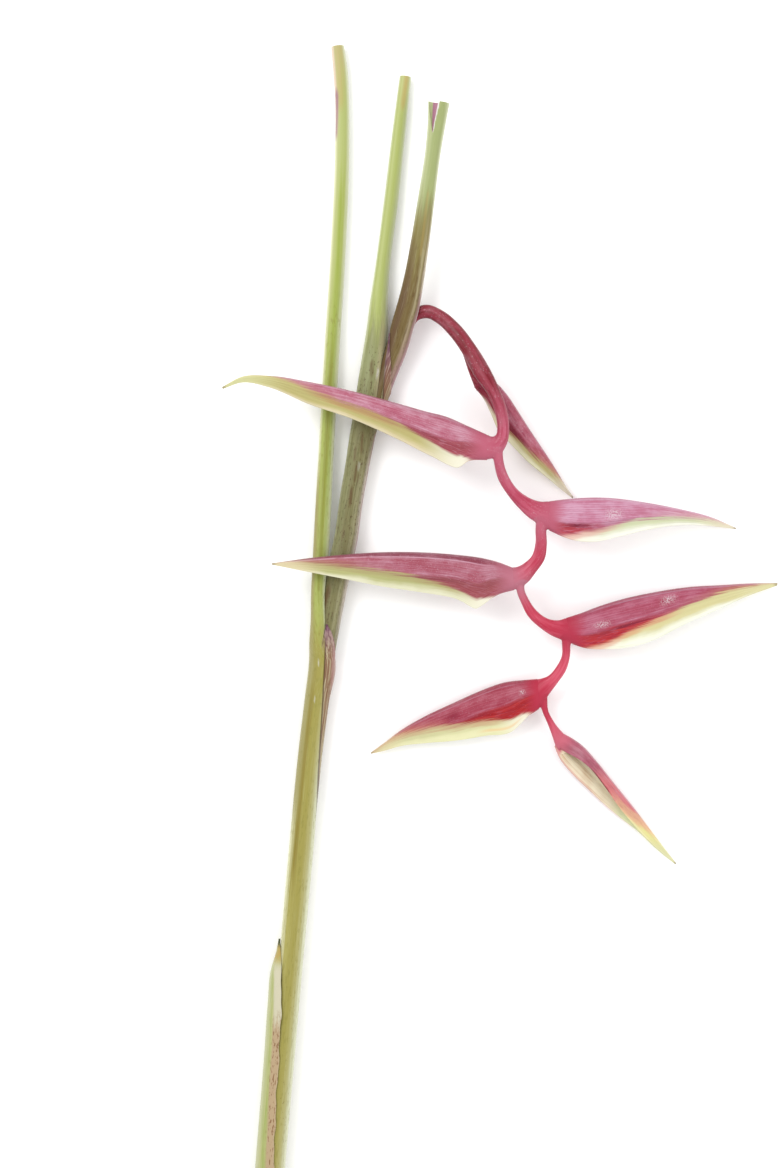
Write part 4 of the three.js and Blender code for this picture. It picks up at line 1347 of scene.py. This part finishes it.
def axis_material(nodes):
    """`nodes` are the places along the axis, each from 0 to 1, where the bracts from the second on grow."""
    s = Shader("axis_skin", 0.42, Sheen_Weight=0.06, Sheen_Roughness=0.4)
    along, grain = s.number("along"), s.vector("grain")
    broad = s.noise(grain, (0.2, 0.2, 0.02), 2, 0.6)
    streaks = s.noise(grain, (0.6, 0.6, 0.04), 3, 0.6)
    mixed = s.band(s.shift(broad, streaks, 0.6), 0.32, 0.68)
    upper = s.mix(mixed, (190, 74, 98), (214, 110, 134))
    lower = s.mix(mixed, (206, 62, 86), (234, 104, 126))
    stalk = s.mix(mixed, (130, 42, 50), (164, 68, 82))
    pale = s.mix(mixed, (176, 112, 124), (206, 150, 160))
    place = s.shift(along, broad, 0.06)
    colour = s.mix(s.band(along, 0.5, 0.8), upper, lower)
    colour = s.over(colour, stalk, s.band(place, nodes[0] - 0.02, nodes[0] - 0.12))
    colour = s.over(colour, pale, s.band(place, 0.16, 0.06))
    for at, bract in zip(nodes, BRACTS[1:]):
        colour = s.over(colour, bract.tones["base"], s.hump(along, at, 0.045))
    patches = s.band(s.noise(grain, (0.1, 0.1, 0.05), 3, 0.6), 0.45, 0.75)
    flecks = s.spots(grain, (0.9, 0.9, 0.45), 0.6, 3)
    bloom = s.plus(s.times(patches, 0.12), s.times(flecks, 0.3))
    colour = s.over(colour, (232, 200, 210), bloom, s.band(along, 0.9, 0.5))
    return s.finish(colour, s.noise(grain, (0.9, 0.9, 0.12), 3, 0.6), 0.08)


# Colours of the leaf stalks. body is the colour all over, and bands lie on it, each as (colour, place
# across from -1 at the left to 1 at the right, reach across, from y, to y, strength), the leaf's stalk
# above the sheaths first. fleck is (colour, strength, below y) and spot (colour, rarity, below y).
# The pale green-white bands at -1 and 1 are painted highlights along the stalks' edges.
ALL = (-700, 700)
LEAF_TONES = {
    "outer": dict(
        body=(176, 167, 90),
        bands=[
            ((184, 196, 108), 0, 9, 95, 700, 1.0), ((166, 182, 80), 0.05, 0.5, 330, 480, 0.7),
            ((150, 154, 66), 0, 0.55, 130, 340, 0.85), ((206, 202, 150), 0, 9, 578, 700, 0.85),
            ((198, 206, 138), 0, 9, 490, 580, 0.6), ((152, 134, 56), -0.45, 0.35, -125, 45, 0.85),
            # the tan band at -0.5 low on the stem is a painted highlight
            ((192, 184, 106), -0.5, 0.4, -700, -135, 0.7), ((198, 192, 130), 0.5, 0.3, -700, 60, 0.6),
            ((170, 186, 114), 0.5, 0.3, 150, 400, 0.5), ((206, 210, 148), -0.55, 0.35, 380, 590, 0.6),
            ((236, 236, 196), -1.02, 0.5, *ALL, 0.9), ((168, 158, 96), -0.85, 0.6, -70, 230, 0.9),
            ((232, 236, 206), 1.02, 0.55, *ALL, 0.9), ((240, 208, 196), -1.0, 0.6, 540, 620, 0.8),
        ],
        fleck=((152, 146, 74), 0.4, 400),
        spot=((120, 92, 52), 0.66, -200),
    ),
    "middle": dict(
        body=(136, 131, 90),
        bands=[
            ((190, 201, 120), 0, 9, 355, 700, 1.0), ((208, 207, 142), 0, 9, 566, 700, 0.75),
            ((164, 170, 120), 0, 9, 300, 350, 0.9), ((204, 192, 150), 0.6, 0.45, 290, 365, 0.75),
            ((208, 216, 146), -0.5, 0.35, 375, 600, 0.6), ((204, 214, 154), 0.55, 0.35, 375, 600, 0.6),
            ((156, 158, 114), -0.6, 0.35, 150, 260, 0.5), ((176, 172, 130), 0.5, 0.3, 90, 235, 0.7),
            ((226, 232, 190), -1.05, 0.4, 320, 700, 0.9), ((190, 192, 154), -1.05, 0.35, -700, 320, 0.8),
            ((224, 230, 202), 1.05, 0.5, 330, 700, 0.9), ((214, 202, 190), 1.02, 0.4, 90, 250, 0.9),
        ],
        fleck=((108, 108, 72), 0.5, 330),
        spot=((92, 66, 50), 0.6, 360),
    ),
    "inner": dict(
        body=(128, 108, 68),
        bands=[
            ((176, 187, 126), 0, 9, 455, 700, 1.0), ((152, 142, 84), 0, 9, 412, 452, 0.8),
            ((112, 84, 64), -0.6, 0.5, 320, 400, 0.75), ((188, 176, 136), 0.5, 0.25, 330, 440, 0.85),
            ((186, 154, 144), 0.55, 0.3, 280, 345, 0.85), ((208, 214, 162), -0.6, 0.4, 460, 700, 0.6),
            ((176, 166, 134), -1.05, 0.35, 400, 450, 0.7), ((234, 238, 206), -1.05, 0.4, 455, 700, 0.9),
            ((228, 216, 196), 1.0, 0.35, 370, 450, 0.95), ((216, 184, 186), 1.0, 0.35, 280, 372, 0.9),
            ((226, 230, 196), 1.05, 0.45, 450, 700, 0.9),
        ],
        fleck=((104, 82, 52), 0.4, 445),
        spot=((112, 78, 60), 0.72, 700),
    ),
}
BAND_FADE = 28  # over how many millimetres a band ends along the stalk
SIDEWAYS = 0.9  # how far across the surface faces sideways, in less light
SPOT_FADE = 40  # over how many millimetres the flecks and spots end
STROKE_TONES = {
    "ochre": (206, 176, 110),
    "lilac": (182, 138, 150),
    "brown": (110, 84, 58),
    "pale": (238, 236, 226),
}


def leaf_bands(s, tones, place, across):
    colour = tones["body"]
    for shade, at, reach, low, high, strength in tones["bands"]:
        cover = s.times(s.hump(across, at, reach), s.span(place, low, high, BAND_FADE))
        # edge bands are painted lighter to make up for the shade there, and carry the painted highlights
        light = SHADED if abs(at) > SIDEWAYS else LIGHT
        colour = s.over(colour, seen(*shade, light), cover, strength)
    return colour


def leaf_spots(s, tones, grain, along, fine, colour):
    """Flecks, a fine pale grain, and rarer dark spots."""
    shade, strength, below = tones["fleck"]
    flecks = s.times(s.spots(grain, (0.6, 0.6, 0.15), 0.55, 4), s.band(along, below, below - SPOT_FADE))
    colour = s.over(colour, shade, flecks, strength)
    colour = s.over(colour, (222, 220, 170), s.band(fine, 0.5, 0.75), 0.2)
    shade, rarity, below = tones["spot"]
    spots = s.times(s.spots(grain, (0.55, 0.55, 0.3), rarity), s.band(along, below, below - SPOT_FADE))
    return s.over(colour, shade, spots, 0.6)


def leaf_wrap(s, fine, blotch, colour):
    """The loose sheath past its margin, painted shadow along the margin, the flap, painted shade inside."""
    wrap = s.shift(s.number("wrap"), fine, 0.6)
    loose = s.mix(s.band(blotch, 0.42, 0.6), (150, 112, 84), (198, 182, 146))
    rosy = s.mix(s.band(blotch, 0.38, 0.62), (184, 136, 128), (212, 184, 170))
    colour = s.over(colour, s.over(loose, rosy, s.band(wrap, 4.5, 8.0)), s.band(wrap, -0.2, 0.6))
    # painted shadow in the groove along the margin
    colour = s.over(colour, (84, 56, 44), s.hump(wrap, 0.0, 1.2), 0.85)
    flap_tone = s.mix(s.band(blotch, 0.35, 0.65), (112, 68, 92), (180, 146, 150))
    colour = s.over(colour, flap_tone, s.number("flap"))
    # painted shade on the faces that hug the next leaf
    return s.over(colour, (92, 80, 60), s.number("inside"), 0.6)


def channel_lining(s, streaks, colour):
    """The open channel at the cut: green on its left wall, pink on its floor, white on its right wall."""
    wall = s.shift(s.number("wall"), streaks, 0.3)
    lining = s.mix(s.band(wall, -0.4, -0.2), (206, 216, 160), (196, 138, 160))
    lining = s.over(lining, seen(246, 242, 238, SHADED), s.band(wall, 0.45, 0.65))
    return s.over(colour, lining, s.number("channel"))


def leaf_material(which):
    s = Shader(f"{which}_leaf_skin", 0.48, Sheen_Weight=0.08, Coat_Weight=0.04, Coat_Roughness=0.35)
    tones = LEAF_TONES[which]
    grain, along = s.vector("grain"), s.number("along")
    streaks = s.noise(grain, (0.5, 0.5, 0.01), 3, 0.6)
    fine = s.noise(grain, (2.2, 2.2, 0.03), 2, 0.5)
    colour = leaf_bands(s, tones, s.shift(along, streaks, 60.0), s.shift(s.number("right"), streaks, 0.35))
    colour = leaf_spots(s, tones, grain, along, fine, colour)
    broken = s.band(s.shift(streaks, fine, 0.6), 0.2, 0.5)
    for name, shade in STROKE_TONES.items():
        colour = s.over(colour, shade, s.number(name), broken)
    colour = leaf_wrap(s, fine, s.shift(streaks, fine, 0.8), colour)
    if which == "inner":
        colour = channel_lining(s, streaks, colour)
    return s.finish(colour, fine, 0.08)


def sheath_material():
    s = Shader("old_sheath_skin", 0.6, Sheen_Weight=0.08)
    grain, along, margin = s.vector("grain"), s.number("along"), s.number("margin")
    streaks = s.noise(grain, (0.6, 0.6, 0.02), 3, 0.6)
    colour = s.mix(s.band(streaks, 0.3, 0.7), (178, 190, 112), (206, 206, 146))
    colour = s.over(colour, (226, 226, 190), s.band(s.number("right"), -0.6, -1.0), 0.7)
    # the turned-over upper margin, with brown dots
    upper = s.band(s.shift(along, streaks, 40.0), -262, -238)
    lining = s.mix(upper, (204, 178, 142), (226, 220, 190))
    by_margin = s.band(s.shift(margin, streaks, 5.0), 8.5, 5.5)
    colour = s.over(colour, lining, by_margin, s.band(along, -190, -206))
    dots = s.times(s.spots(grain, (0.7, 0.7, 0.2), 0.55), s.band(margin, 11, 4))
    colour = s.over(colour, (140, 96, 62), dots, s.band(along, -230, -260), 0.75)
    # the dry tip
    dry = s.times(s.span(along, -196, -180, 5), s.band(streaks, 0.3, 0.5))
    colour = s.over(colour, (204, 170, 96), dry, 0.8)
    colour = s.over(colour, (84, 92, 58), s.band(along, -186, -180))
    colour = s.over(colour, (232, 226, 198), s.number("inside"), 0.6)
    return s.finish(colour, s.noise(grain, (2.0, 2.0, 0.06), 2, 0.5), 0.12)


def cut_material():
    """The pale cut faces, with air canals and bundles."""
    s = Shader("cut_face", 0.7)
    grain = s.vector("grain")
    place = s.scaled(grain, (0.8, 0.8, 0.02))
    cells = s.node("ShaderNodeTexVoronoi", {"Vector": place, "Scale": 1.0})
    holes = s.band(cells.outputs["Distance"], 0.35, 0.15)
    tone = s.band(s.noise(grain, (0.3, 0.3, 0.1)), 0.3, 0.7)
    colour = s.mix(tone, (236, 232, 200), (220, 216, 170))
    colour = s.over(colour, (168, 164, 112), holes, 0.6)
    return s.finish(colour, s.times(holes, -1.0), 0.3)


FOOT_ZONE, TOP_ZONE = 3, 6  # millimetres from each end in which a square face is a cut one
SQUARE = 0.9


def put_on(piece, skin, cut=None, top=True):
    """Gives the piece its skin, and the faces cut at its foot, and at its top, theirs."""
    mesh = piece.data
    mesh.materials.clear()
    mesh.materials.append(skin)
    if cut is None:
        return
    mesh.materials.append(cut)
    y = positions(mesh)[:, 1]
    foot, head = y.min() + FOOT_ZONE * MM, y.max() - TOP_ZONE * MM
    for face in mesh.polygons:
        at_end = face.center.y < foot or (top and face.center.y > head)
        if at_end and abs(face.normal.y) > SQUARE:
            face.material_index = 1


# ---------------------------------------------------------------- the stage

CAMERA_PLACE = (-98, 133, 1913)
PHOTO = (778, 1168)
FOCAL_PIXELS = 2171
SENSOR = 36
FLOOR_HALF, FLOOR_DROP = 4, 0.0005  # in metres
WORLD_LIGHT = 1.05
LAMPS = [
    ("key", (-1.4, 1.2, 1.9), 1.2, 32),
    ("fill", (1.6, -0.2, 1.6), 1.4, 16),
]  # name, place and size in metres, watts


def make_camera():
    data = bpy.data.cameras.new("camera")
    data.sensor_width = SENSOR
    data.lens = SENSOR * FOCAL_PIXELS / max(PHOTO)
    camera = bpy.data.objects.new("camera", data)
    camera.location = Vector(CAMERA_PLACE) * MM
    bpy.context.scene.collection.objects.link(camera)
    bpy.context.scene.camera = camera


def make_floor():
    mesh = bpy.data.meshes.new("floor")
    corners = [(x * FLOOR_HALF, y * FLOOR_HALF, -FLOOR_DROP) for x, y in ((-1, -1), (1, -1), (1, 1), (-1, 1))]
    mesh.from_pydata(corners, [], [(0, 1, 2, 3)])
    floor = bpy.data.objects.new("floor", mesh)
    bpy.context.scene.collection.objects.link(floor)
    s = Shader("floor_paper", 0.9)
    tone = s.noise(s.node("ShaderNodeTexCoord", {}).outputs["Object"], (3, 3, 3))
    mesh.materials.append(s.finish(s.mix(tone, (0.93, 0.93, 0.93, 1), (0.95, 0.95, 0.945, 1))))


def make_lights():
    world = bpy.data.worlds.new("studio")
    world.use_nodes = True
    world.node_tree.nodes["Background"].inputs["Color"].default_value = (1, 1, 1, 1)
    world.node_tree.nodes["Background"].inputs["Strength"].default_value = WORLD_LIGHT
    bpy.context.scene.world = world
    for name, place, size, watts in LAMPS:
        data = bpy.data.lights.new(name, "AREA")
        data.size = size
        data.energy = watts
        lamp = bpy.data.objects.new(name, data)
        lamp.location = place
        lamp.rotation_euler = (-Vector(place)).to_track_quat("-Z", "Y").to_euler()
        bpy.context.scene.collection.objects.link(lamp)


# ---------------------------------------------------------------- the object

bpy.context.scene.view_settings.view_transform = "Standard"
make_camera()
make_floor()
make_lights()

cut_face = cut_material()
for piece, which in zip(make_leaves(), ("outer", "middle", "inner")):
    put_on(piece, leaf_material(which), cut_face)
put_on(make_basal_sheath(), sheath_material())
axis, node_places = make_flower_stalk()
put_on(axis, axis_material(node_places.tolist()), cut_face, top=False)
for number, bract in enumerate(BRACTS, 1):
    put_on(make_bract(number, bract), bract_material(f"bract_{number}_skin", bract))
